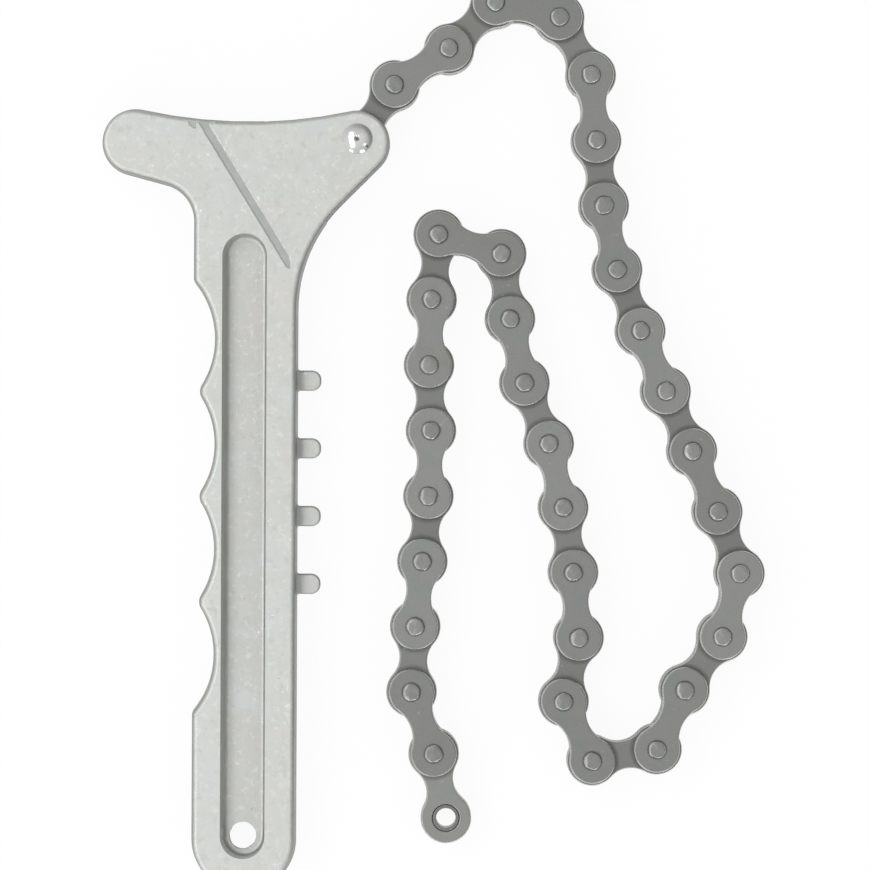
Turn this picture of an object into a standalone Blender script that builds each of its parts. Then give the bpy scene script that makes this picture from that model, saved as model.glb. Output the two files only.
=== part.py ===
"""Chain oil filter wrench: a cast handle with a clevis head, finger scallops and four hook teeth, and
a half-inch roller chain that is riveted in the clevis and lies loose beside the handle.

Units are metres and +Z is up. The wrench lies on the plane z = 0 with its handle along Y. The origin
is on the handle's underside, where the grip's centre line meets the line through the middles of the
head's two round ends. Along the chain, odd links are roller links and even links are pin links.
"""

import math

import bmesh
import bpy

MM = 0.001

# Chain
PITCH = 12.7 * MM
INNER_WIDTH = 3.3 * MM  # between the inner plates
PLATE_THICKNESS = 1.2 * MM
PLATE_GAP = 0.3 * MM  # between an inner plate and the outer plate over it
ROLLER_RADIUS = 3.87 * MM
BUSH_WALL = 0.75 * MM
PIN_RADIUS = 1.8 * MM
PIN_CLEARANCE = 0.1 * MM  # radial, pin to bush, and pin to cover plate
PIN_HEAD = 0.85 * MM  # how far a pin stands out of its outer plate
INNER_PLATE_RADIUS = 4.95 * MM
INNER_PLATE_WAIST = 5.4 * MM
OUTER_PLATE_RADIUS = 4.5 * MM
OUTER_PLATE_WAIST = 4.9 * MM
END_LINK_FIT = 0.12 * MM  # radial, around the bushes of the take-apart end link
ROLLER_END_PLAY = 0.15 * MM  # at each end of a free roller

# How the chain lies: the turn at each hinge, in whole degrees, from the head to the free end
LAY_UP_AND_OVER = (56, -22, 11, -58, -48, -24)
LAY_RIGHT_STRAND = (2, 5, 9, 2, 1, -1, -3, -35, -20, 10)
LAY_FOOT_AND_BACK = (-55, -74, -39, 18, 4, 4, 9, -9, -5)
LAY_STRAND_BY_THE_GRIP = (65, 101, 4, 4, -4, -3, -1, 3, 23, -9)
LAY = LAY_UP_AND_OVER + LAY_RIGHT_STRAND + LAY_FOOT_AND_BACK + LAY_STRAND_BY_THE_GRIP

# Head of the handle
EAR_THICKNESS = 2.15 * MM
SLOT_CLEARANCE = 0.4 * MM  # on each side of the chain, if it lay in the middle
CHAIN_DROP = 0.2 * MM  # the chain lies this much below the handle's mid-plane
HEAD_SPAN = 43.1 * MM  # between the middles of the horn and the tip
EAR_TO_LINK = 1.7 * MM  # from the ears' round end to the first outer plates
HEAD_DIP = 2.3 * MM  # how far the top edge dips between the horn and the tip
HORN_SLOPE = 15.0  # degrees
HORN_FILLET = 7.15 * MM
TIP_SLOPE = 45.0  # degrees
CROOK_RADIUS = 28.5 * MM
SLOT_REACH = 13.6 * MM  # from the rivet to the slot's back wall
GROOVE_SLOPE = -58.4  # degrees, of the groove and of the slot's back wall
GROOVE_WIDTH = 1.95 * MM
GROOVE_DEPTH = 0.5 * MM
GROOVE_END = (8.4 * MM, -23.3 * MM)

# Grip of the handle
HANDLE_REACH = 135.2 * MM  # from the head's line to the middle of the round end
GRIP_WIDTH = 20.36 * MM
EDGE_ROUND = 0.9 * MM
SCALLOP_RADIUS = 17.0 * MM
SCALLOP_DEPTH = 4.15 * MM
SCALLOP_PITCH = 20.4 * MM
SCALLOP_CREST = 2.6 * MM  # radius of the crests between the scallops
SCALLOP_START = 38.1 * MM  # middle of the first scallop below the head's line
SCALLOP_LAND = 33.0 * MM  # at least this far from the last scallop's middle to the round end's
TOOTH_START = 46.1 * MM
TOOTH_LAND = 48.0 * MM  # at least this far from the last tooth to the round end's middle
TOOTH_LENGTH = 4.5 * MM
TOOTH_SPREAD = 0.45 * MM  # tooth pitch over chain pitch
TOOTH_END_PLAY = 0.52 * MM  # between a tooth and the roller on each side of it
TOOTH_SIDE_PLAY = 0.25 * MM  # between a tooth and the plate on each side of it
TOOTH_ROOT = 2.0 * MM  # how far a tooth's own solid runs into the wall
POCKET_RADIUS = 4.15 * MM
POCKET_START = 22.0 * MM  # middle of the pocket's upper round end below the head's line
POCKET_SHIFT = 0.1 * MM  # to the scalloped side
WEB_THICKNESS = 2.6 * MM
HANG_HOLE_RADIUS = 2.6 * MM
HANG_HOLE_SETBACK = 0.8 * MM  # of the hole and the pocket's end from the round end's middle

# Rivet
RIVET_RISE = 0.7 * MM  # above the middle of the ears' round end
RIVET_FIT = 0.1 * MM  # radial, and under the head
RIVET_HEAD_RADIUS = 2.85 * MM
RIVET_HEAD_HEIGHT = 1.0 * MM
RIVET_DOME_SHARES = ((0.6, 0.88), (0.9, 0.5), (1.0, 0.0))  # of the head's radius, and of its height
RIVET_DIMPLE_RADIUS = 0.7 * MM
RIVET_DIMPLE_DEPTH = 0.3 * MM
RIVET_TAIL_RADIUS = 2.6 * MM
RIVET_TAIL_HEIGHT = 0.9 * MM
RIVET_TAIL_LIFT = 0.1 * MM  # how far the tail stays inside the underside

# Fineness
HANDLE_SAG = 0.06 * MM  # most that an outline's chord leaves its arc
PLATE_SAG = 0.13 * MM
PIN_SIDES = 10
ROLLER_SIDES = 12
TURNED_SIDES = 20
SHARP_FROM = 40.0  # degrees between two faces
OVERRUN = 1.0 * MM  # how far a cutter runs past what it cuts
JOIN_OVERLAP = 0.3 * MM  # how far shapes that are joined run into each other

# Worked out from the sizes above
INNER_LINK_HEIGHT = INNER_WIDTH + 2 * PLATE_THICKNESS
OUTER_LINK_HEIGHT = INNER_LINK_HEIGHT + 2 * (PLATE_GAP + PLATE_THICKNESS)
PIN_LENGTH = OUTER_LINK_HEIGHT + 2 * PIN_HEAD
BORE_RADIUS = PIN_RADIUS + PIN_CLEARANCE
BUSH_RADIUS = BORE_RADIUS + BUSH_WALL
SLOT_HEIGHT = INNER_LINK_HEIGHT + 2 * SLOT_CLEARANCE
HANDLE_THICKNESS = SLOT_HEIGHT + 2 * EAR_THICKNESS
MID_PLANE = HANDLE_THICKNESS / 2
CHAIN_LEVEL = MID_PLANE - CHAIN_DROP
HEAD_END_RADIUS = PITCH - OUTER_PLATE_RADIUS - EAR_TO_LINK
HALF_SPAN = HEAD_SPAN / 2
HALF_GRIP = GRIP_WIDTH / 2
RIVET_PLACE = (HALF_SPAN, RIVET_RISE)
TOOTH_PITCH = PITCH + TOOTH_SPREAD
TOOTH_WIDTH = PITCH - 2 * ROLLER_RADIUS - 2 * TOOTH_END_PLAY
TOOTH_THICKNESS = INNER_WIDTH - 2 * TOOTH_SIDE_PLAY
POCKET_DEPTH = (HANDLE_THICKNESS - WEB_THICKNESS) / 2
HANG_HOLE_PLACE = (-POCKET_SHIFT, HANG_HOLE_SETBACK - HANDLE_REACH)
RIVET_TAIL_TOP = RIVET_TAIL_LIFT + RIVET_TAIL_HEIGHT


def clear_scene():
    for obj in list(bpy.data.objects):
        bpy.data.objects.remove(obj, do_unlink=True)


def new_collection(name):
    collection = bpy.data.collections.new(name)
    bpy.context.scene.collection.children.link(collection)
    return collection


def metal(name, colour, roughness):
    material = bpy.data.materials.new(name)
    material.use_nodes = True
    shader = material.node_tree.nodes["Principled BSDF"]
    shader.inputs["Base Color"].default_value = (*colour, 1.0)
    shader.inputs["Metallic"].default_value = 1.0
    shader.inputs["Roughness"].default_value = roughness
    return material


def polar(centre, radius, degrees):
    """The point at this angle on a circle."""
    angle = math.radians(degrees)
    return (centre[0] + radius * math.cos(angle), centre[1] + radius * math.sin(angle))


def arc(centre, radius, start, end, sag):
    """Points on an arc from start to end degrees, whose chords leave it by at most sag."""
    widest = 2 * math.degrees(math.acos(1 - min(sag / radius, 0.5)))
    steps = max(1, math.ceil(abs(end - start) / widest))
    return [polar(centre, radius, start + (end - start) * i / steps) for i in range(steps + 1)]


def around(radius, sides):
    """Corner radius of a polygon whose flats lie at this radius."""
    return radius / math.cos(math.pi / sides)


def ring(centre, radius, sides):
    return [polar(centre, radius, 360 * i / sides) for i in range(sides)]


def evaluated_mesh(obj):
    graph = bpy.context.evaluated_depsgraph_get()
    return bpy.data.meshes.new_from_object(obj.evaluated_get(graph))


def flat_solid(name, outlines, thickness, edge=0.0):
    """A flat outline with its holes, made solid about z = 0, with its outer edges taken off by edge."""
    curve = bpy.data.curves.new(name, "CURVE")
    curve.dimensions = "2D"
    curve.fill_mode = "BOTH"
    curve.extrude = thickness / 2 - edge
    curve.bevel_depth = edge
    curve.bevel_resolution = 0
    curve.offset = -edge
    for outline in outlines:
        spline = curve.splines.new("POLY")
        spline.points.add(len(outline) - 1)
        spline.use_cyclic_u = True
        for point, (x, y) in zip(spline.points, outline):
            point.co = (x, y, 0, 1)
    drawn = bpy.data.objects.new(name, curve)
    bpy.context.scene.collection.objects.link(drawn)
    mesh = evaluated_mesh(drawn)
    bpy.data.objects.remove(drawn, do_unlink=True)
    bpy.data.curves.remove(curve)
    weld(mesh)
    return place_in_scene(name, mesh)


def weld(mesh):
    """Joins a filled curve's loose caps to its sides."""
    work = bmesh.new()
    work.from_mesh(mesh)
    bmesh.ops.remove_doubles(work, verts=work.verts, dist=0.001 * MM)
    bmesh.ops.recalc_face_normals(work, faces=work.faces)
    work.to_mesh(mesh)
    work.free()


def place_in_scene(name, mesh):
    obj = bpy.data.objects.new(name, mesh)
    bpy.context.scene.collection.objects.link(obj)
    return obj


def cylinder(name, radius, sides, low, high, x=0.0, y=0.0):
    bpy.ops.mesh.primitive_cylinder_add(
        vertices=sides, radius=radius, depth=high - low, location=(x, y, (low + high) / 2)
    )
    obj = bpy.context.active_object
    obj.name = name
    return obj


def turned(name, profile, sides, closed):
    """A turned solid from (radius, height) points that run from the top down its outer side."""
    edges = [(i, i + 1) for i in range(len(profile) - 1)]
    if closed:
        edges.append((len(profile) - 1, 0))
    mesh = bpy.data.meshes.new(name)
    mesh.from_pydata([(radius, 0, height) for radius, height in profile], edges, [])
    obj = place_in_scene(name, mesh)
    screw = obj.modifiers.new("turn", "SCREW")
    screw.axis = "Z"
    screw.angle = 2 * math.pi
    screw.steps = sides
    screw.render_steps = sides
    screw.use_merge_vertices = True
    screw.merge_threshold = 0.001 * MM
    return obj


def tube(name, outer, inner, sides, height):
    """A ring of this height about z = 0, whose bore's flats lie at the inner radius."""
    half = height / 2
    bore = around(inner, sides)
    return turned(name, [(outer, half), (outer, -half), (bore, -half), (bore, half)], sides, True)


def combine(obj, other, operation):
    modifier = obj.modifiers.new(other.name, "BOOLEAN")
    modifier.operation = operation
    modifier.object = other


def as_helper(obj, cutters):
    """Moves a cutter, or a shape that a join takes in, out of the visible part."""
    for collection in obj.users_collection:
        collection.objects.unlink(obj)
    cutters.objects.link(obj)
    obj.hide_render = True
    obj.display_type = "WIRE"


def baked(obj, helpers, material):
    """The finished mesh, in place, of an object whose helpers are no longer needed."""
    bpy.context.view_layer.update()
    mesh = evaluated_mesh(obj)
    mesh.transform(obj.matrix_world)
    for used in (obj, *helpers):
        bpy.data.objects.remove(used, do_unlink=True)
    finish(mesh, material)
    return mesh


def finish(mesh, material):
    """Gives the mesh its material, and smooth shading that keeps its edges."""
    mesh.materials.clear()
    mesh.materials.append(material)
    mesh.shade_smooth()
    mesh.set_sharp_from_angle(angle=math.radians(SHARP_FROM))


def plate_outline(radius, waist):
    """A link plate: a round end about each pin, and hollow flanks tangent to both."""
    half_waist = waist / 2
    flank = ((PITCH / 2) ** 2 + half_waist**2 - radius**2) / (2 * (radius - half_waist))
    touch = math.degrees(math.atan2(half_waist + flank, PITCH / 2))
    middle = PITCH / 2
    far_end = arc((PITCH, 0), radius, touch - 180, 180 - touch, PLATE_SAG)
    upper_flank = arc((middle, half_waist + flank), flank, -touch, touch - 180, PLATE_SAG)
    near_end = arc((0, 0), radius, touch, 360 - touch, PLATE_SAG)
    lower_flank = arc((middle, -half_waist - flank), flank, 180 - touch, touch, PLATE_SAG)
    return far_end + upper_flank[1:-1] + near_end + lower_flank[1:-1]


def raised(obj, height):
    obj.location.z = height
    return obj


def roller_link_mesh(material):
    """Two inner plates with two bushes and their rollers, joined, and bored for the pins."""
    outline = plate_outline(INNER_PLATE_RADIUS, INNER_PLATE_WAIST)
    level = (INNER_WIDTH + PLATE_THICKNESS) / 2
    link = raised(flat_solid("inner_plate_lower", [outline], PLATE_THICKNESS), -level)
    upper = raised(flat_solid("inner_plate_upper", [outline], PLATE_THICKNESS), level)
    combine(link, upper, "UNION")
    helpers = [upper]
    reach = INNER_WIDTH / 2 + JOIN_OVERLAP
    for x in (0, PITCH):
        roller = cylinder("roller", ROLLER_RADIUS, ROLLER_SIDES, -reach, reach, x)
        combine(link, roller, "UNION")
        helpers.append(roller)
    through = INNER_LINK_HEIGHT / 2 + OVERRUN
    for x in (0, PITCH):
        bore = cylinder("bore", around(BORE_RADIUS, PIN_SIDES), PIN_SIDES, -through, through, x)
        combine(link, bore, "DIFFERENCE")
        helpers.append(bore)
    return baked(link, helpers, material)


def pin_link_mesh(material):
    """A lower outer plate with its two riveted pins."""
    outline = plate_outline(OUTER_PLATE_RADIUS, OUTER_PLATE_WAIST)
    level = (OUTER_LINK_HEIGHT - PLATE_THICKNESS) / 2
    link = raised(flat_solid("outer_plate_lower", [outline], PLATE_THICKNESS), -level)
    helpers = []
    for x in (0, PITCH):
        pin = cylinder("pin", PIN_RADIUS, PIN_SIDES, -PIN_LENGTH / 2, PIN_LENGTH / 2, x)
        combine(link, pin, "UNION")
        helpers.append(pin)
    return baked(link, helpers, material)


def cover_plate_mesh(material):
    """The upper outer plate, which slips over the two pins before they are riveted."""
    hole = around(BORE_RADIUS, PIN_SIDES)
    outlines = [plate_outline(OUTER_PLATE_RADIUS, OUTER_PLATE_WAIST)]
    outlines += [ring((x, 0), hole, PIN_SIDES) for x in (0, PITCH)]
    level = (OUTER_LINK_HEIGHT - PLATE_THICKNESS) / 2
    plate = raised(flat_solid("outer_plate_upper", outlines, PLATE_THICKNESS), level)
    return baked(plate, [], material)


def hinge_empties(collection):
    """One empty on each hinge of the chain, each carried by the one before it."""
    empties = []
    for number, turn in enumerate(LAY, start=1):
        empty = bpy.data.objects.new(f"hinge_{number:02d}", None)
        empty.empty_display_size = PITCH / 4
        collection.objects.link(empty)
        empty.rotation_euler.z = math.radians(turn)
        if empties:
            empty.parent = empties[-1]
            empty.location.x = PITCH
        else:
            empty.location = (*RIVET_PLACE, CHAIN_LEVEL)
        empties.append(empty)
    return empties


def add_copy(name, mesh, empty, collection):
    obj = bpy.data.objects.new(name, mesh)
    obj.parent = empty
    collection.objects.link(obj)


def add_part(obj, empty, material, collection, x=0.0, z=0.0):
    """Takes a finished solid into the part, on its empty."""
    finish(obj.data, material)
    for old in obj.users_collection:
        old.objects.unlink(obj)
    collection.objects.link(obj)
    obj.parent = empty
    obj.location = (x, 0, z)


def build_end_link(empty, steel, roller_steel, collection):
    """The chain's free end, with each of its six pieces as its own solid."""
    plate_level = (INNER_WIDTH + PLATE_THICKNESS) / 2
    hole = around(BUSH_RADIUS + END_LINK_FIT, TURNED_SIDES)
    outlines = [plate_outline(INNER_PLATE_RADIUS, INNER_PLATE_WAIST)]
    outlines += [ring((x, 0), hole, TURNED_SIDES) for x in (0, PITCH)]
    for name, level in (("end_plate_lower", -plate_level), ("end_plate_upper", plate_level)):
        plate = flat_solid(name, outlines, PLATE_THICKNESS)
        add_part(plate, empty, steel, collection, z=level)
    roller_height = INNER_WIDTH - 2 * ROLLER_END_PLAY
    roller_bore = BUSH_RADIUS + END_LINK_FIT
    for number, x in enumerate((0, PITCH), start=1):
        bush = tube(f"end_bush_{number}", BUSH_RADIUS, BORE_RADIUS, TURNED_SIDES, INNER_LINK_HEIGHT)
        add_part(bush, empty, steel, collection, x=x)
        roller = tube(
            f"end_roller_{number}", ROLLER_RADIUS, roller_bore, TURNED_SIDES, roller_height
        )
        add_part(roller, empty, roller_steel, collection, x=x)


def build_chain(collection, inner_steel, outer_steel, pin_steel, roller_steel):
    roller_link = roller_link_mesh(inner_steel)
    pin_link = pin_link_mesh(pin_steel)
    cover_plate = cover_plate_mesh(outer_steel)
    empties = hinge_empties(collection)
    for number, empty in enumerate(empties[:-1], start=1):
        if number % 2:
            add_copy(f"roller_link_{number:02d}", roller_link, empty, collection)
        else:
            add_copy(f"pin_link_{number:02d}", pin_link, empty, collection)
            add_copy(f"cover_plate_{number:02d}", cover_plate, empty, collection)
    build_end_link(empties[-1], inner_steel, roller_steel, collection)


def head_top(sag):
    """The tip's round end, the hollow top edge and the horn's round end, from right to left."""
    level = HEAD_END_RADIUS - HEAD_DIP
    hollow = (HALF_SPAN**2 + level**2 - HEAD_END_RADIUS**2) / (2 * HEAD_DIP)
    middle = level + hollow
    touch = math.degrees(math.atan2(middle, HALF_SPAN))
    tip = arc((HALF_SPAN, 0), HEAD_END_RADIUS, -TIP_SLOPE, 180 - touch, sag)
    top = arc((0, middle), hollow, -touch, touch - 180, sag)
    horn = arc((-HALF_SPAN, 0), HEAD_END_RADIUS, touch, 270 - HORN_SLOPE, sag)
    return tip + top[1:-1] + horn


def horn_fillet(sag):
    """From the horn's sloping lower edge round to the grip's scalloped side."""
    start = polar((-HALF_SPAN, 0), HEAD_END_RADIUS, 270 - HORN_SLOPE)
    middle_x = -HALF_GRIP - HORN_FILLET
    first = polar((0, 0), HORN_FILLET, 90 - HORN_SLOPE)
    run = middle_x + first[0] - start[0]
    middle_y = start[1] - run * math.tan(math.radians(HORN_SLOPE)) - first[1]
    return arc((middle_x, middle_y), HORN_FILLET, 90 - HORN_SLOPE, 0, sag)


def count_along(start, land, pitch):
    """How many fit between the first one and the bare length at the grip's round end."""
    return max(1, math.floor((HANDLE_REACH - start - land) / pitch) + 1)


def scallops(sag):
    """The finger scallops, with rounded crests between them, from the head down."""
    x = SCALLOP_DEPTH - HALF_GRIP - SCALLOP_RADIUS
    count = count_along(SCALLOP_START, SCALLOP_LAND, SCALLOP_PITCH)
    outer = math.degrees(math.acos((SCALLOP_RADIUS - SCALLOP_DEPTH) / SCALLOP_RADIUS))
    inner = math.degrees(math.asin(SCALLOP_PITCH / 2 / (SCALLOP_RADIUS + SCALLOP_CREST)))
    crest_x = x + (SCALLOP_RADIUS + SCALLOP_CREST) * math.cos(math.radians(inner))
    points = []
    for i in range(count):
        y = -SCALLOP_START - i * SCALLOP_PITCH
        start = outer if i == 0 else inner
        end = outer if i == count - 1 else inner
        points += arc((x, y), SCALLOP_RADIUS, start, -end, sag)
        if i < count - 1:
            crest = (crest_x, y - SCALLOP_PITCH / 2)
            points += arc(crest, SCALLOP_CREST, 180 - inner, 180 + inner, sag)[1:-1]
    return points


def crook(sag):
    """From the grip's toothed side up round the crook to the sloping edge under the tip."""
    x = HALF_GRIP + CROOK_RADIUS
    slope = math.radians(TIP_SLOPE)
    tip_offset = HALF_SPAN * math.sin(slope) + HEAD_END_RADIUS
    y = (x * math.sin(slope) - tip_offset - CROOK_RADIUS) / math.cos(slope)
    return arc((x, y), CROOK_RADIUS, 180, 180 - TIP_SLOPE, sag)


def handle_outline(sag):
    round_end = arc((0, -HANDLE_REACH), HALF_GRIP, 180, 360, sag)
    return head_top(sag) + horn_fillet(sag) + scallops(sag) + round_end + crook(sag)


def obround(start, end, radius, sag):
    """A slot shape between two middles."""
    along = math.degrees(math.atan2(end[1] - start[1], end[0] - start[0]))
    upper = arc(end, radius, along - 90, along + 90, sag)
    return upper + arc(start, radius, along + 90, along + 270, sag)


def pocket_cutters(cutters):
    """The long recess in each face, which leaves the web between them."""
    top = (-POCKET_SHIFT, -POCKET_START)
    outline = obround(top, HANG_HOLE_PLACE, POCKET_RADIUS, HANDLE_SAG)
    depth = POCKET_DEPTH + OVERRUN
    made = []
    for name, side in (("pocket_upper", 1), ("pocket_lower", -1)):
        pocket = flat_solid(name, [outline], depth)
        pocket.location.z = MID_PLANE + side * (WEB_THICKNESS + depth) / 2
        as_helper(pocket, cutters)
        made.append(pocket)
    return made


def hang_hole_cutter(cutters):
    top = HANDLE_THICKNESS + OVERRUN
    hole = cylinder("hang_hole", HANG_HOLE_RADIUS, TURNED_SIDES, -OVERRUN, top, *HANG_HOLE_PLACE)
    as_helper(hole, cutters)
    return hole


def groove_cutter(cutters):
    """The narrow groove that crosses the head's upper face and runs out over its top edge."""
    length = HEAD_SPAN
    start = polar(GROOVE_END, length, GROOVE_SLOPE + 180)
    outline = obround(start, GROOVE_END, GROOVE_WIDTH / 2, HANDLE_SAG)
    depth = GROOVE_DEPTH + OVERRUN
    groove = flat_solid("groove", [outline], depth)
    groove.location.z = HANDLE_THICKNESS - GROOVE_DEPTH + depth / 2
    as_helper(groove, cutters)
    return groove


def slot_cutter(cutters):
    """The clevis slot: its back wall runs parallel to the groove, and it is open all round the tip."""
    bpy.ops.mesh.primitive_cube_add(size=1)
    slot = bpy.context.active_object
    slot.name = "clevis_slot"
    depth = SLOT_REACH + 2 * PITCH
    slot.scale = (2 * HEAD_SPAN, depth, SLOT_HEIGHT)
    slot.rotation_euler.z = math.radians(GROOVE_SLOPE)
    x, y = polar(RIVET_PLACE, depth / 2 - SLOT_REACH, GROOVE_SLOPE + 90)
    slot.location = (x, y, MID_PLANE)
    as_helper(slot, cutters)
    return slot


def rivet_profile():
    """Dimpled head, shank and countersunk tail."""
    seat = HANDLE_THICKNESS + RIVET_FIT
    top = seat + RIVET_HEAD_HEIGHT
    dimple = [(0, top - RIVET_DIMPLE_DEPTH), (RIVET_DIMPLE_RADIUS, top)]
    dome = [
        (RIVET_HEAD_RADIUS * out, seat + RIVET_HEAD_HEIGHT * up) for out, up in RIVET_DOME_SHARES
    ]
    tail = [(PIN_RADIUS, RIVET_TAIL_TOP), (RIVET_TAIL_RADIUS, RIVET_TAIL_LIFT)]
    return dimple + dome + [(PIN_RADIUS, seat)] + tail + [(0, RIVET_TAIL_LIFT)]


def rivet_hole_cutter(cutters):
    """Through both ears, and countersunk below."""
    shank = around(PIN_RADIUS + RIVET_FIT, TURNED_SIDES)
    tail = around(RIVET_TAIL_RADIUS + RIVET_FIT, TURNED_SIDES)
    profile = [(0, HANDLE_THICKNESS + OVERRUN), (shank, HANDLE_THICKNESS + OVERRUN)]
    profile += [(shank, RIVET_TAIL_TOP + RIVET_FIT), (tail, RIVET_TAIL_LIFT)]
    profile += [(tail, -OVERRUN), (0, -OVERRUN)]
    hole = turned("rivet_hole", profile, TURNED_SIDES, False)
    hole.location = (*RIVET_PLACE, 0)
    as_helper(hole, cutters)
    return hole


def tooth_shapes(cutters):
    """The hook teeth, each with a round end, in the middle of the handle's thickness."""
    end = HALF_GRIP + TOOTH_LENGTH - TOOTH_WIDTH / 2
    made = []
    root = HALF_GRIP - TOOTH_ROOT
    half = TOOTH_WIDTH / 2
    for i in range(count_along(TOOTH_START, TOOTH_LAND, TOOTH_PITCH)):
        y = -TOOTH_START - i * TOOTH_PITCH
        outline = [(root, y + half), (root, y - half)] + arc((end, y), half, -90, 90, HANDLE_SAG)
        tooth = flat_solid(f"tooth_{i + 1}", [outline], TOOTH_THICKNESS)
        tooth.location.z = MID_PLANE
        as_helper(tooth, cutters)
        made.append(tooth)
    return made


def build_handle(collection, cutters, material):
    handle = flat_solid("handle_casting", [handle_outline(HANDLE_SAG)], HANDLE_THICKNESS, EDGE_ROUND)
    handle.location.z = MID_PLANE
    for tooth in tooth_shapes(cutters):
        combine(handle, tooth, "UNION")
    for pocket in pocket_cutters(cutters):
        combine(handle, pocket, "DIFFERENCE")
    combine(handle, hang_hole_cutter(cutters), "DIFFERENCE")
    combine(handle, groove_cutter(cutters), "DIFFERENCE")
    combine(handle, slot_cutter(cutters), "DIFFERENCE")
    combine(handle, rivet_hole_cutter(cutters), "DIFFERENCE")
    finish(handle.data, material)
    bpy.context.scene.collection.objects.unlink(handle)
    collection.objects.link(handle)


def build_rivet(collection, material):
    rivet = turned("chain_rivet", rivet_profile(), TURNED_SIDES, False)
    rivet.location = (*RIVET_PLACE, 0)
    rivet.data.materials.append(material)
    bpy.context.scene.collection.objects.unlink(rivet)
    collection.objects.link(rivet)


def main():
    clear_scene()
    part = new_collection("chain_filter_wrench")
    cutters = new_collection("cutters")
    cutters.hide_render = True
    cast_aluminium = metal("cast_aluminium", (0.62, 0.63, 0.60), 0.45)
    inner_steel = metal("inner_plate_steel", (0.20, 0.20, 0.19), 0.42)
    outer_steel = metal("outer_plate_steel", (0.27, 0.28, 0.26), 0.40)
    pin_steel = metal("pin_steel", (0.33, 0.34, 0.32), 0.36)
    roller_steel = metal("roller_steel", (0.30, 0.30, 0.29), 0.32)
    rivet_steel = metal("polished_rivet_steel", (0.62, 0.62, 0.60), 0.18)
    build_handle(part, cutters, cast_aluminium)
    build_rivet(part, rivet_steel)
    build_chain(part, inner_steel, outer_steel, pin_steel, roller_steel)
    bpy.context.view_layer.update()


main()
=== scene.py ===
"""Dresses a chain oil filter wrench: a die-cast lever handle with finger scallops, hook teeth and a clevis,
and a half-inch roller chain that is riveted in the clevis and lies in loose strands beside the handle.

Shapes are made in millimetres and brought into the frame, which is in metres, when they are finished.
Along the chain, odd links are roller links and even links are pin links; the last one is a free end.
"""

from __future__ import annotations

import logging
import math
from dataclasses import dataclass, field
from enum import Enum
from typing import Sequence

import bmesh
import bpy
import numpy as np
from mathutils import Matrix, Vector, noise

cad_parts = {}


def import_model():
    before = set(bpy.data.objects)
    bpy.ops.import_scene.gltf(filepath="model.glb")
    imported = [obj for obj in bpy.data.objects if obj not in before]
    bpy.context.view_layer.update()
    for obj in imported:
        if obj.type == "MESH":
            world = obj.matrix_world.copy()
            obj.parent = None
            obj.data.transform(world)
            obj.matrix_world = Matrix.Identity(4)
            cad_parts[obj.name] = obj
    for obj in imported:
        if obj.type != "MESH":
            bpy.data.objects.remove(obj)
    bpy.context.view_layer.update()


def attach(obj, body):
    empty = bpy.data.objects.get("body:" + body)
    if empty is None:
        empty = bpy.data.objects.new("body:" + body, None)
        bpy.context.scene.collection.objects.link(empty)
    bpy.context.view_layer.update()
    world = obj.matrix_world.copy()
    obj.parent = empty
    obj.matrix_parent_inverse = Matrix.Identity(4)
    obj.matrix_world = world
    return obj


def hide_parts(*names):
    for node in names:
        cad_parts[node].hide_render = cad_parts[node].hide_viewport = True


LOG = logging.getLogger("chain_filter_wrench")
MM = 0.001
PITCH = 12.7  # of the chain, in millimetres
RIVET_PLACE = (21.55, 0.7)  # x and y of the chain's first hinge, in millimetres
GROOVE_SLOPE = -58.4  # degrees
FLAT_FACE_WEIGHT = 80  # how far flat faces keep their shading beside rounded edges
SAME_PLACE = 1e-4  # millimetres within which two points are one

Point = tuple[float, float]
Levels = list[Point]
Colour = tuple[float, float, float]
Place = tuple[float, float, float]
FADE = (1.0, 0.0)  # a share that falls from all to nothing


# Shapes


class Join(Enum):
    """What a second solid does to the first."""

    ADD = "UNION"
    CUT = "DIFFERENCE"


@dataclass(frozen=True)
class Bend:
    """A stretch of outline on a circle: it bulges if its angle grows, and is hollow if it shrinks."""

    centre: Point
    radius: float
    start: float
    end: float

    def samples(self, fineness: float) -> list[tuple[float, float, float, float]]:
        """Points along the bend.

        Args:
            fineness: the most degrees between two points.

        Returns:
            A list of x, y and the outward normal's x, y.
        """
        steps = max(1, math.ceil(abs(self.end - self.start) / fineness))
        outward = 1.0 if self.end > self.start else -1.0
        found = []
        for i in range(steps + 1):
            angle = math.radians(self.start + (self.end - self.start) * i / steps)
            c, s = math.cos(angle), math.sin(angle)
            found.append(
                (self.centre[0] + self.radius * c, self.centre[1] + self.radius * s, outward * c, outward * s)
            )
        return found


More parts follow.
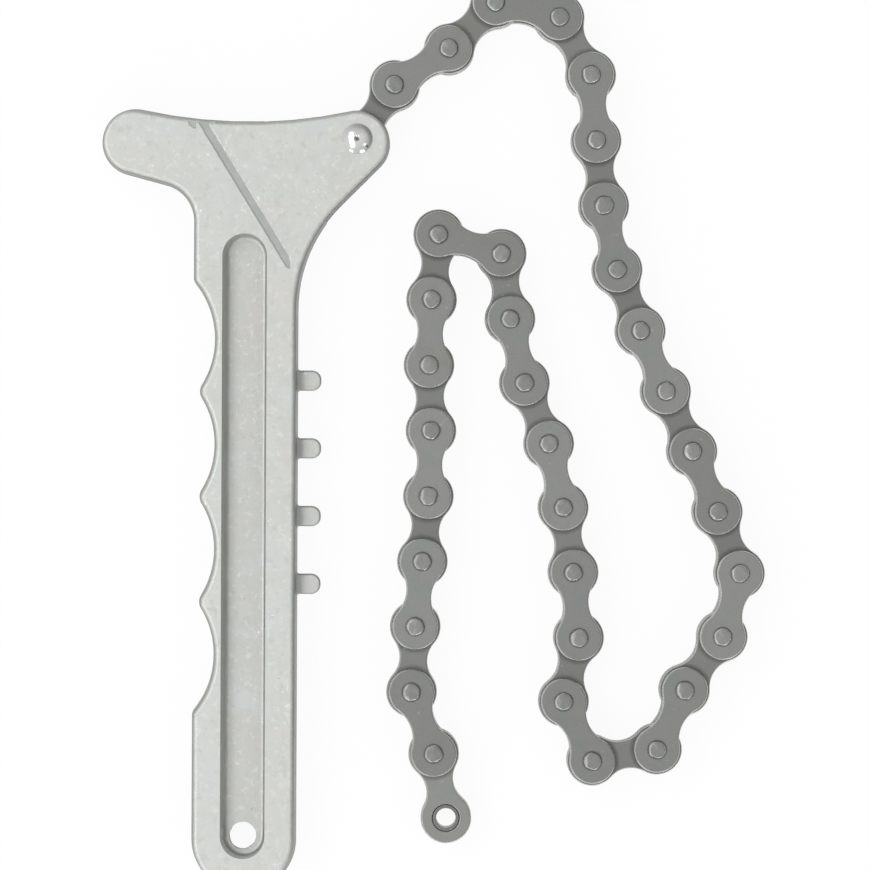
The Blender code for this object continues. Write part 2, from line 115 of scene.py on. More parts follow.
class Outline:
    """A closed outline that runs anticlockwise, made of bends with straight runs between them."""

    def __init__(self, bends: Sequence[Bend], fineness: float = 6.0) -> None:
        """Samples the bends.

        Args:
            bends: the bends in order; each meets the next, or a straight run, without a corner.
            fineness: the most degrees between two points of a bend.
        """
        rows = [row for bend in bends for row in bend.samples(fineness)]
        kept = [row for i, row in enumerate(rows) if math.dist(row[:2], rows[i - 1][:2]) > SAME_PLACE]
        table = np.array(kept)
        self.points, self.normals = table[:, :2], table[:, 2:]

    @classmethod
    def rounded(cls, corners: Sequence[Point], radius: float, fineness: float = 30.0) -> Outline:
        """The outline round circles that stand at the corners of a bulging shape.

        Args:
            corners: the circles' middles, anticlockwise.
            radius: their radius.
            fineness: the most degrees between two points of a bend.

        Returns:
            The outline.
        """
        bends = []
        sides = zip(corners, [*corners[1:], corners[0]])
        facing = [math.degrees(math.atan2(a[0] - b[0], b[1] - a[1])) for a, b in sides]
        for i, corner in enumerate(corners):
            turn = (facing[i] - facing[i - 1]) % 360
            bends.append(Bend(corner, radius, facing[i - 1], facing[i - 1] + turn))
        return cls(bends, fineness)

    def split(self, longest: float) -> Outline:
        """Adds points along the straight runs.

        Args:
            longest: the most millimetres between two points.

        Returns:
            This outline, changed.
        """
        points, normals = [], []
        for i, (point, normal) in enumerate(zip(self.points, self.normals)):
            j = (i + 1) % len(self.points)
            steps = max(1, math.ceil(math.dist(point, self.points[j]) / longest))
            for k in range(steps):
                share = k / steps
                points.append(point + (self.points[j] - point) * share)
                turned = normal + (self.normals[j] - normal) * share
                normals.append(turned / np.linalg.norm(turned))
        self.points, self.normals = np.array(points), np.array(normals)
        return self

    def ragged(self, amount: float, grain: float, seed: int) -> Outline:
        """Moves each point in or out a little, as a broken cast edge does.

        Args:
            amount: the most millimetres that a point moves.
            grain: the size of the unevenness in millimetres.
            seed: picks the pattern.

        Returns:
            This outline, changed.
        """
        wander = [noise.noise(Vector((x / grain, y / grain, seed))) for x, y in self.points]
        self.points = self.points + self.normals * (amount * np.array(wander))[:, None]
        return self

    def grown(self, by: float) -> np.ndarray:
        """The outline's points, moved outwards by this many millimetres."""
        return self.points + self.normals * by


def quarter_round(height: float, growth: float, radius: float, steps: int, hollow: bool = False) -> Levels:
    """Levels of a rounded edge that starts at a wall and ends in a flat face.

    Args:
        height: where the wall ends.
        growth: the wall's growth there.
        radius: the edge's radius; below zero the edge runs downwards.
        steps: how many steps it is made of.
        hollow: whether it is a fillet that flares outwards.

    Returns:
        Heights and growths from the wall to the face.
    """
    sign = 1.0 if hollow else -1.0
    size = abs(radius)
    found = []
    for i in range(steps + 1):
        angle = math.pi / 2 * i / steps
        found.append((height + radius * math.sin(angle), growth + sign * size * (1 - math.cos(angle))))
    return found


def mesh_from(name: str, points: Sequence[Sequence[float]], faces: Sequence[Sequence[int]]) -> bpy.types.Mesh:
    """A mesh with its faces pointing outwards.

    Args:
        name: the mesh's name.
        points: its corners.
        faces: its faces, as indices.

    Returns:
        The mesh.
    """
    mesh = bpy.data.meshes.new(name)
    mesh.from_pydata([tuple(map(float, p)) for p in points], [], [tuple(map(int, f)) for f in faces])
    face_outwards(mesh)
    mesh.validate()
    return mesh


def face_outwards(mesh: bpy.types.Mesh, merge: bool = False) -> None:
    """Turns a mesh's faces outwards.

    Args:
        mesh: the mesh.
        merge: whether points in the same place are merged first.
    """
    work = bmesh.new()
    work.from_mesh(mesh)
    if merge:
        bmesh.ops.remove_doubles(work, verts=work.verts, dist=SAME_PLACE)
    bmesh.ops.recalc_face_normals(work, faces=work.faces)
    work.to_mesh(mesh)
    work.free()


def lofted(name: str, outline: Outline, levels: Levels) -> bpy.types.Mesh:
    """A solid whose outline grows and shrinks with height.

    Args:
        name: the mesh's name.
        outline: its outline.
        levels: heights and growths from the bottom to the top.

    Returns:
        A closed mesh.
    """
    count = len(outline.points)
    points = [(x, y, height) for height, growth in levels for x, y in outline.grown(growth)]
    faces: list[list[int]] = []
    for k in range(len(levels) - 1):
        for i in range(count):
            j = (i + 1) % count
            faces.append([k * count + i, k * count + j, (k + 1) * count + j, (k + 1) * count + i])
    faces.append(list(range(count))[::-1])
    faces.append(list(range((len(levels) - 1) * count, len(levels) * count)))
    return mesh_from(name, points, faces)


def turned(name: str, profile: Levels, sides: int, hollow: bool = False) -> bpy.types.Mesh:
    """A turned solid.

    Args:
        name: the mesh's name.
        profile: radii and heights from the top down the outer side, and up the bore if it is hollow.
        sides: how many sides it has.
        hollow: whether the profile closes on itself.

    Returns:
        A closed mesh.
    """
    points: list[Place] = []
    rings: list[list[int]] = []
    for radius, height in profile:
        if radius < 1e-6:
            rings.append([len(points)] * sides)
            points.append((0.0, 0.0, height))
            continue
        rings.append(list(range(len(points), len(points) + sides)))
        for j in range(sides):
            angle = 2 * math.pi * j / sides
            points.append((radius * math.cos(angle), radius * math.sin(angle), height))
    faces: list[list[int]] = []
    for a, b in zip(rings, rings[1:] + rings[:1] if hollow else rings[1:]):
        for j in range(sides):
            k = (j + 1) % sides
            corners = list(dict.fromkeys((a[j], b[j], b[k], a[k])))
            if len(corners) > 2:
                faces.append(corners)
    return mesh_from(name, points, faces)


def plate_solid(name: str, outlines: Sequence[np.ndarray], thickness: float, edge: float) -> bpy.types.Mesh:
    """A flat plate with holes, about height zero, with rounded edges.

    Args:
        name: the mesh's name.
        outlines: the plate's outline and its holes.
        thickness: the plate's thickness.
        edge: the radius of its edges.

    Returns:
        A closed mesh.
    """
    curve = bpy.data.curves.new(name, "CURVE")
    curve.dimensions = "2D"
    curve.fill_mode = "BOTH"
    curve.extrude = thickness / 2 - edge
    curve.bevel_depth = edge
    curve.bevel_resolution = 3
    curve.offset = -edge
    for outline in outlines:
        spline = curve.splines.new("POLY")
        spline.points.add(len(outline) - 1)
        spline.use_cyclic_u = True
        for point, (x, y) in zip(spline.points, outline):
            point.co = (x, y, 0, 1)
    mesh = evaluated(stand(name, curve))
    face_outwards(mesh, merge=True)
    return mesh


def stand(name: str, data: bpy.types.ID) -> bpy.types.Object:
    """Puts a mesh or a curve in the scene.

    Args:
        name: the object's name.
        data: the mesh or curve.

    Returns:
        The object.
    """
    obj = bpy.data.objects.new(name, data)
    bpy.context.scene.collection.objects.link(obj)
    return obj


def evaluated(obj: bpy.types.Object) -> bpy.types.Mesh:
    """Takes an object out of the scene and keeps its finished mesh.

    Args:
        obj: the object.

    Returns:
        The mesh that its modifiers make of it.
    """
    graph = bpy.context.evaluated_depsgraph_get()
    source = obj.evaluated_get(graph)
    mesh = bpy.data.meshes.new_from_object(source, preserve_all_data_layers=True, depsgraph=graph)
    mesh.name = obj.name
    bpy.data.objects.remove(obj, do_unlink=True)
    return mesh


def joined(base: bpy.types.Mesh, others: Sequence[tuple[bpy.types.Mesh, Join]]) -> bpy.types.Mesh:
    """Adds solids to a solid or cuts them from it.

    Args:
        base: the solid to start with.
        others: each further solid, with what it does.

    Returns:
        The resulting mesh, which keeps each solid's finish on its faces.
    """
    obj = stand(base.name, base)
    helpers = []
    for mesh, join in others:
        helper = stand(mesh.name, mesh)
        modifier = obj.modifiers.new(mesh.name, "BOOLEAN")
        modifier.operation = join.value
        modifier.solver = "EXACT"
        modifier.material_mode = "TRANSFER"
        modifier.object = helper
        helpers.append(helper)
    bpy.context.view_layer.update()
    mesh = evaluated(obj)
    for helper in helpers:
        bpy.data.objects.remove(helper, do_unlink=True)
    return mesh


def smoothed(mesh: bpy.types.Mesh, sharp_from: float = 32.0) -> bpy.types.Mesh:
    """Shades a mesh smoothly, with flat faces that stay flat and edges that stay crisp.

    Args:
        mesh: the mesh.
        sharp_from: the degrees between two faces from which an edge is crisp.

    Returns:
        A new mesh.
    """
    mesh.shade_smooth()
    mesh.set_sharp_from_angle(angle=math.radians(sharp_from))
    obj = stand(mesh.name, mesh)
    keep_faces_flat(obj)
    return evaluated(obj)


def keep_faces_flat(obj: bpy.types.Object) -> None:
    """Gives an object the modifier that shades its flat faces flat beside rounded edges.

    Args:
        obj: the object.
    """
    modifier = obj.modifiers.new("flat_faces", "WEIGHTED_NORMAL")
    modifier.keep_sharp = True
    modifier.weight = FLAT_FACE_WEIGHT


def piece(
    name: str, mesh: bpy.types.Mesh, body: str, stands_for: Sequence[str]
) -> bpy.types.Object:
    """Brings a finished mesh into the frame as a piece of the wrench.

    Args:
        name: the piece's name.
        mesh: its mesh, in millimetres.
        body: the body that carries it.
        stands_for: the nodes that it replaces.

    Returns:
        The piece.
    """
    mesh.transform(Matrix.Scale(MM, 4))
    mesh.name = name
    obj = stand(name, mesh)
    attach(obj, body)
    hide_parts(*stands_for)
    LOG.info("%s rides on %s, %d faces", name, body, len(mesh.polygons))
    return obj


# Finishes


class Bench:
    """The nodes of a material, a world or a geometry tree while they are laid out."""

    def __init__(self, tree: bpy.types.NodeTree) -> None:
        """Starts on this tree."""
        self.nodes, self.links = tree.nodes, tree.links

    def feed(self, socket: bpy.types.NodeSocket, value: object) -> None:
        """Links an output to a socket, or sets the socket to a plain value.

        Args:
            socket: the input to feed.
            value: an output, a plain value, or None to leave the input as it is.
        """
        if isinstance(value, bpy.types.NodeSocket):
            self.links.new(value, socket)
        elif value is not None:
            socket.default_value = value

    def sum(self, kind: str, a: object, b: object = None, c: object = None) -> bpy.types.NodeSocket:
        """A sum on numbers.

        Args:
            kind: the sum, such as MULTIPLY.
            a: its first value or output.
            b: its second.
            c: its third.

        Returns:
            The result.
        """
        node = self.nodes.new("ShaderNodeMath")
        node.operation = kind
        for socket, value in zip(node.inputs, (a, b, c)):
            self.feed(socket, value)
        return node.outputs[0]

    def measure(self, kind: str, a: object, b: object = None) -> bpy.types.NodeSocket:
        """A sum on vectors.

        Args:
            kind: the sum, such as DISTANCE.
            a: its first vector or output.
            b: its second.

        Returns:
            The result, which is a number where the sum gives one.
        """
        node = self.nodes.new("ShaderNodeVectorMath")
        node.operation = kind
        self.feed(node.inputs[0], a)
        self.feed(node.inputs[1], b)
        return next(output for output in node.outputs if output.enabled)

    def between(
        self, value: bpy.types.NodeSocket, low: float, high: float, to: tuple[object, object] = (0.0, 1.0)
    ) -> bpy.types.NodeSocket:
        """Spreads a stretch of a value softly over another range.

        Args:
            value: the value.
            low: where the stretch starts.
            high: where it ends.
            to: what it becomes at its start and its end.

        Returns:
            The result, which stays at its ends outside the stretch.
        """
        node = self.nodes.new("ShaderNodeMapRange")
        node.interpolation_type = "SMOOTHSTEP"
        self.links.new(value, node.inputs["Value"])
        for name, number in zip(("From Min", "From Max", "To Min", "To Max"), (low, high, *to)):
            self.feed(node.inputs[name], number)
        return node.outputs["Result"]


class Surface(Bench):
    """A material whose nodes are being laid out."""

    def __init__(self, name: str) -> None:
        """Starts a material.

        Args:
            name: the material's name.
        """
        self.material = bpy.data.materials.new(name)
        self.material.use_nodes = True
        super().__init__(self.material.node_tree)
        self.shader = self.nodes["Principled BSDF"]
        source = self.nodes.new("ShaderNodeTexCoord")
        self.place, self.facing = source.outputs["Object"], source.outputs["Normal"]

    def flatness(self) -> bpy.types.NodeSocket:
        """How far the surface faces straight up or down.

        Returns:
            1 on a flat face, 0 on a wall.
        """
        split = self.nodes.new("ShaderNodeSeparateXYZ")
        self.links.new(self.facing, split.inputs[0])
        return self.sum("ABSOLUTE", split.outputs["Z"])

    def attribute(self, name: str) -> bpy.types.Node:
        """The node that reads an attribute of the piece.

        Args:
            name: the attribute's name.

        Returns:
            The node.
        """
        node = self.nodes.new("ShaderNodeAttribute")
        node.attribute_name = name
        return node

    def stretched(self, scale: Sequence[float], turn: float = 0.0) -> bpy.types.NodeSocket:
        """Object coordinates, turned and scaled.

        Args:
            scale: how much finer the pattern gets along each axis.
            turn: the degrees by which they turn about Z.

        Returns:
            The coordinates.
        """
        mapping = self.nodes.new("ShaderNodeMapping")
        mapping.inputs["Rotation"].default_value = (0, 0, math.radians(turn))
        mapping.inputs["Scale"].default_value = tuple(scale)
        self.links.new(self.place, mapping.inputs["Vector"])
        return mapping.outputs["Vector"]

    def grain(
        self, size: float, detail: float = 2.0, place: bpy.types.NodeSocket | None = None
    ) -> bpy.types.NodeSocket:
        """Soft random unevenness.

        Args:
            size: the size of its features in millimetres.
            detail: how much finer unevenness it holds.
            place: the coordinates to use, if not the object's.

        Returns:
            A value about 0.5.
        """
        node = self.nodes.new("ShaderNodeTexNoise")
        node.inputs["Scale"].default_value = 1 / (size * MM)
        node.inputs["Detail"].default_value = detail
        node.inputs["Roughness"].default_value = 0.6
        self.links.new(place or self.place, node.inputs["Vector"])
        return node.outputs["Fac"]

    def blend(self, share: object, a: object, b: object) -> bpy.types.NodeSocket:
        """Mixes two colours.

        Args:
            share: how much of the second colour shows.
            a: the first colour.
            b: the second colour.

        Returns:
            The mixed colour.
        """
        node = self.nodes.new("ShaderNodeMix")
        node.data_type = "RGBA"
        self.feed(node.inputs["Factor"], share)
        for name, colour in (("A", a), ("B", b)):
            socket = next(s for s in node.inputs if s.name == name and s.type == "RGBA")
            self.feed(socket, (*colour, 1.0) if isinstance(colour, tuple) else colour)
        return next(s for s in node.outputs if s.type == "RGBA")

    def bump(self, height: bpy.types.NodeSocket, depth: float, under: object = None) -> bpy.types.NodeSocket:
        """A bumped normal.

        Args:
            height: the unevenness.
            depth: its depth in millimetres.
            under: a normal that it is added to.

        Returns:
            The normal.
        """
        node = self.nodes.new("ShaderNodeBump")
        node.inputs["Strength"].default_value = 1.0
        node.inputs["Distance"].default_value = depth * MM
        self.links.new(height, node.inputs["Height"])
        self.feed(node.inputs["Normal"], under)
        return node.outputs["Normal"]

    def finished(self, colour: object, roughness: object, normal: object) -> bpy.types.Material:
        """Feeds a metal's shader.

        Args:
            colour: its colour.
            roughness: its roughness.
            normal: its normal.

        Returns:
            The material.
        """
        self.shader.inputs["Metallic"].default_value = 1.0
        self.feed(self.shader.inputs["Base Color"], colour)
        self.feed(self.shader.inputs["Roughness"], roughness)
        self.feed(self.shader.inputs["Normal"], normal)
        return self.material


@dataclass(frozen=True)
class CastFinish:
    """A tumbled aluminium casting: satin and faintly mottled faces with bright nicks, walls and hook teeth
    darkened as painted shade, and painted highlights along the groove's burred edge.
    """

    name: str = "cast_aluminium"
    light: Colour = (0.64, 0.65, 0.625)
    dark: Colour = (0.575, 0.59, 0.56)
    warm: Colour = (0.62, 0.605, 0.585)
    cool: Colour = (0.595, 0.63, 0.625)
    rubbed: Colour = (0.74, 0.745, 0.72)
    dull: Colour = (0.50, 0.51, 0.485)
    # painted shade: the colour that steep walls and edge rounds darken to
    wall: Colour = (0.34, 0.345, 0.33)
    # painted shade of the hook teeth, which lie lower than the face beside the wall
    tooth: Colour = (0.42, 0.43, 0.41)
    wall_shade_from: Point = (0.35, 0.9)
    nick: Colour = (0.95, 0.95, 0.94)
    pit: Colour = (0.36, 0.37, 0.35)
    roughness: Point = (0.50, 0.60)
    nick_roughness: float = -0.12
    nick_share: float = 0.5
    scratches: tuple[Point, ...] = ((17.0, 0.55), (-41.0, 0.5), (68.0, 0.6))
    groove_slope: float = GROOVE_SLOPE
    groove_edge: Point = (9.23, -22.8)

    def painted_burr_glints(self, s: Surface) -> bpy.types.NodeSocket:
        """The strip along the groove's right edge, where painted highlights stand for the glints of its
        burred metal.

        Args:
            s: the surface.

        Returns:
            1 in the strip, 0 away from it.
        """
        along = math.radians(self.groove_slope)
        across = (-math.sin(along), math.cos(along), 0.0)
        start = across[0] * self.groove_edge[0] + across[1] * self.groove_edge[1]
        split = s.measure("DOT_PRODUCT", s.place, across)
        off = s.sum("SUBTRACT", split, start * MM)
        near = s.between(off, -0.3 * MM, 0.1 * MM)
        near = s.sum("MULTIPLY", near, s.between(off, 0.8 * MM, 2.2 * MM, FADE))
        return s.sum("MULTIPLY", near, s.between(s.grain(3.0, 1.0), 0.42, 0.6))

    def painted_tooth_shade(self, s: Surface) -> bpy.types.NodeSocket:
        """Painted shade on the hook teeth, which lie lower than the face beside the handle's wall, darkest
        where they leave it.

        Args:
            s: the surface.

        Returns:
            How much painted shade darkens the tooth.
        """
        split = s.nodes.new("ShaderNodeSeparateXYZ")
        s.links.new(s.place, split.inputs[0])
        tooth = s.between(split.outputs["Z"], 6.85 * MM, 7.0 * MM, FADE)
        tooth = s.sum("MULTIPLY", tooth, s.between(split.outputs["X"], 9.9 * MM, 10.1 * MM))
        uneven = s.sum("MULTIPLY_ADD", s.grain(1.0, 2.0), 0.8 * MM, split.outputs["X"])
        root = s.between(uneven, 11.0 * MM, 12.1 * MM, (0.8, 0.2))
        return s.sum("MULTIPLY", tooth, root)

    def marks(self, s: Surface) -> bpy.types.NodeSocket:
        """Bright nicks in loose clusters, a few fine scratches, and painted highlights along the groove's
        burred edge.

        Args:
            s: the surface.

        Returns:
            How bright the mark is.
        """
        clusters = s.between(s.grain(8.0, 2.0), 0.5, 0.68)
        # painted highlights along the groove's burred edge join the nicks
        clusters = s.sum("MAXIMUM", clusters, self.painted_burr_glints(s))
        found: object = s.sum("MULTIPLY", s.between(s.grain(0.75, 2.0), 0.62, 0.70), clusters)
        for turn, size in self.scratches:
            line = s.grain(size, 2.0, s.stretched((1.0, 0.14, 1.0), turn))
            line = s.between(line, 0.68, 0.74, (0.0, 0.6))
            found = s.sum("MAXIMUM", found, s.sum("MULTIPLY", line, clusters))
        return s.sum("MULTIPLY", found, self.nick_share)

    def material(self) -> bpy.types.Material:
        """Lays out the material.

        Returns:
            The material.
        """
        s = Surface(self.name)
        mottle = s.grain(4.0, 5.0)
        colour = s.blend(s.between(mottle, 0.34, 0.66), self.dark, self.light)
        tint = s.grain(11.0, 3.0)
        colour = s.blend(s.between(tint, 0.52, 0.70, (0.0, 0.7)), colour, self.warm)
        colour = s.blend(s.between(tint, 0.32, 0.46, (0.7, 0.0)), colour, self.cool)
        colour = s.blend(s.between(s.grain(1.3, 2.0), 0.56, 0.70, (0.0, 0.4)), colour, self.rubbed)
        colour = s.blend(s.between(s.grain(1.7, 2.0), 0.30, 0.43, (0.4, 0.0)), colour, self.dull)
        fine = s.grain(0.5, 3.0)
        colour = s.blend(s.between(fine, 0.30, 0.46, (0.09, 0.0)), colour, self.pit)
        pits = s.between(s.grain(0.9, 1.0), 0.74, 0.79, (0.0, 0.6))
        colour = s.blend(s.sum("MULTIPLY", pits, s.between(mottle, 0.45, 0.6)), colour, self.pit)
        bright = self.marks(s)
        colour = s.blend(bright, colour, self.nick)
        # painted shade: steep walls and edge rounds darken unevenly towards the wall colour
        flat = s.flatness()
        uneven = s.between(flat, *self.wall_shade_from, (0.75, -0.25))
        uneven = s.sum("MULTIPLY_ADD", s.grain(1.2, 3.0), 0.5, uneven)
        colour = s.blend(s.sum("MULTIPLY", uneven, s.between(flat, 0.85, 0.97, FADE)), colour, self.wall)
        # painted shade on the hook teeth, darkest where they leave the wall
        colour = s.blend(self.painted_tooth_shade(s), colour, self.tooth)
        rough = s.between(mottle, 0.35, 0.65, self.roughness)
        rough = s.sum("MULTIPLY_ADD", bright, self.nick_roughness, rough)
        normal = s.bump(s.grain(1.7, 2.0), 0.02)
        normal = s.bump(fine, 0.008, normal)
        return s.finished(colour, rough, normal)


@dataclass(frozen=True)
class CoinedFinish:
    """The floor of the pressed groove: smoother and a shade darker than the casting."""

    base: Colour = (0.395, 0.41, 0.39)
    lip: Colour = (0.47, 0.48, 0.46)
    brightest: float = 1.08
    roughness: Point = (0.40, 0.5)

    def material(self) -> bpy.types.Material:
        """Lays out the material.

        Returns:
            The material.
        """
        s = Surface("coined_groove")
        bright = tuple(self.brightest * level for level in self.base)
        colour = s.blend(s.between(s.grain(2.4, 3.0), 0.35, 0.65), self.base, bright)
        colour = s.blend(s.between(s.flatness(), 0.93, 0.995, (0.9, 0.0)), colour, self.lip)
        rough = s.between(s.grain(1.1, 2.0), 0.3, 0.7, self.roughness)
        return s.finished(colour, rough, s.bump(s.grain(0.4), 0.004))


@dataclass(frozen=True)
class SteelFinish:
    """Oiled chain steel: faint tints, edges lightened by wear and as painted highlights, painted shade and
    grease beside what covers it, and a tone for each link.
    """

    name: str
    base: Colour
    cool: Colour
    warm: Colour
    # painted shade and grease: darker from one distance to another from the pins' middles, beside what covers
    # the link
    shade_and_grime_from: float = 0.0
    shade_and_grime_to: float = 0.0
    shade_and_grime_share: float = 0.36
    shade_and_grime_ends: tuple[float, ...] = (0.0, PITCH)
    eye: float = 0.0  # the radius of the bush's seam in the link's open end, where it shows
    eye_rim: float = 0.18
    roughness: Point = (0.36, 0.46)
    grain_size: float = 0.35
    grain_depth: float = 0.005
    # edges lightened by wear and as painted highlights
    edge: Colour = (0.68, 0.685, 0.665)
    # the dark colour of grease, pits, the bush's seam, each link's tone and the painted shade
    dirt_and_shade: Colour = (0.05, 0.05, 0.047)

    def away(self, s: Surface, ends: Sequence[float]) -> bpy.types.NodeSocket:
        """The distance from the nearer pin's middle.

        Args:
            s: the surface.
            ends: one or two places along the link, in millimetres.

        Returns:
            The distance in millimetres.
        """
        local = s.measure("MULTIPLY", s.attribute("local").outputs["Vector"], (1.0, 1.0, 0.0))
        found = [s.measure("DISTANCE", local, (x, 0.0, 0.0)) for x in ends]
        return s.sum("MINIMUM", found[0], found[-1])

    def shade_and_grime(self, s: Surface) -> bpy.types.NodeSocket:
        """Painted shade and grease round the link's covered ends and round the pin heads, from one distance
        to another from the pins' middles.

        Args:
            s: the surface.

        Returns:
            How much painted shade and grease darken the steel.
        """
        out = self.away(s, self.shade_and_grime_ends)
        out = s.sum("MULTIPLY_ADD", s.grain(1.5, 2.0), 0.5, s.sum("SUBTRACT", out, 0.25))
        return s.between(out, self.shade_and_grime_from, self.shade_and_grime_to, (self.shade_and_grime_share, 0.0))

    def material(self) -> bpy.types.Material:
        """Lays out the material.

        Returns:
            The material.
        """
        s = Surface(self.name)
        drift = s.grain(6.0, 2.0)
        colour = s.blend(s.between(drift, 0.30, 0.48, (0.8, 0.0)), self.base, self.cool)
        colour = s.blend(s.between(drift, 0.52, 0.70, (0.0, 0.8)), colour, self.warm)
        shade = s.between(s.attribute("tone").outputs["Fac"], 0.0, 1.0, (0.16, 0.0))
        colour = s.blend(shade, colour, self.dirt_and_shade)
        # painted shade and grease beside what covers the link
        if self.shade_and_grime_to:
            colour = s.blend(self.shade_and_grime(s), colour, self.dirt_and_shade)
        flat = s.flatness()
        # edges lighter by wear and as painted highlights along the rims
        wear_and_highlight = s.between(flat, 0.7, 0.985, (0.9, 0.0))
        wear_and_highlight = s.sum("MULTIPLY", wear_and_highlight, s.between(flat, 0.0, 0.5, (0.4, 1.0)))
        if self.eye:
            out = self.away(s, (PITCH,))
            rim = s.sum("ABSOLUTE", s.sum("SUBTRACT", out, self.eye + self.eye_rim))
            wear_and_highlight = s.sum("MULTIPLY", wear_and_highlight, s.between(rim, self.eye_rim + 0.04, self.eye_rim + 0.14))
        colour = s.blend(wear_and_highlight, colour, self.edge)
        if self.eye:
            off = s.sum("ABSOLUTE", s.sum("SUBTRACT", out, self.eye))
            seam = s.between(off, 0.07, 0.17, (0.55, 0.0))
            seam = s.sum("MULTIPLY", seam, s.between(s.grain(1.6), 0.38, 0.56, (0.25, 1.0)))
            colour = s.blend(seam, colour, self.dirt_and_shade)
        fine = s.grain(self.grain_size, 3.0)
        colour = s.blend(s.between(fine, 0.30, 0.45, (0.12, 0.0)), colour, self.dirt_and_shade)
        rubs = s.between(s.grain(0.9, 3.0), 0.64, 0.72)
        rubs = s.sum("MULTIPLY", rubs, s.between(s.grain(4.0), 0.5, 0.65))
        colour = s.blend(s.sum("MULTIPLY", rubs, 0.25), colour, self.edge)
        rough = s.between(s.grain(2.2, 3.0), 0.3, 0.7, self.roughness)
        return s.finished(colour, rough, s.bump(fine, self.grain_depth))


@dataclass(frozen=True)
class PolishedFinish:
    """The rivet's bright dome: faint smears, partly painted darker reflections, and dark spots of painted
    shade and soiling in its dimple and at one dent.
    """

    base: Colour = (0.72, 0.72, 0.70)
    # faint smears, partly painted darker reflections
    smears_and_reflections: Colour = (0.45, 0.45, 0.43)
    dirt_and_shade: Colour = (0.10, 0.10, 0.095)
    dark_spot_fade: float = 0.35
    roughness: Point = (0.12, 0.22)
    spots: tuple[tuple[Point, float], ...] = ((RIVET_PLACE, 0.42), ((23.42, -0.8), 0.34))

    def material(self) -> bpy.types.Material:
        """Lays out the material.

        Returns:
            The material.
        """
        s = Surface("polished_rivet")
        smears_and_reflections = s.grain(1.6, 3.0)
        colour = s.blend(s.between(smears_and_reflections, 0.35, 0.7, (0.0, 0.25)), self.base, self.smears_and_reflections)
        level = s.measure("MULTIPLY", s.place, (1.0, 1.0, 0.0))
        rough = s.between(smears_and_reflections, 0.3, 0.7, self.roughness)
        # dark spots in the dimple and at one dent: painted shade and soiling
        for (x, y), radius in self.spots:
            out = s.measure("DISTANCE", level, (x * MM, y * MM, 0.0))
            out = s.sum("MULTIPLY_ADD", s.grain(0.5, 2.0), 0.5 * MM, out)
            dirt_and_shade = s.between(out, radius * MM, (radius + self.dark_spot_fade) * MM, (0.9, 0.0))
            colour = s.blend(dirt_and_shade, colour, self.dirt_and_shade)
            rough = s.sum("MULTIPLY_ADD", dirt_and_shade, 0.5, rough)
        return s.finished(colour, rough, s.bump(s.grain(0.7), 0.006))


# The handle


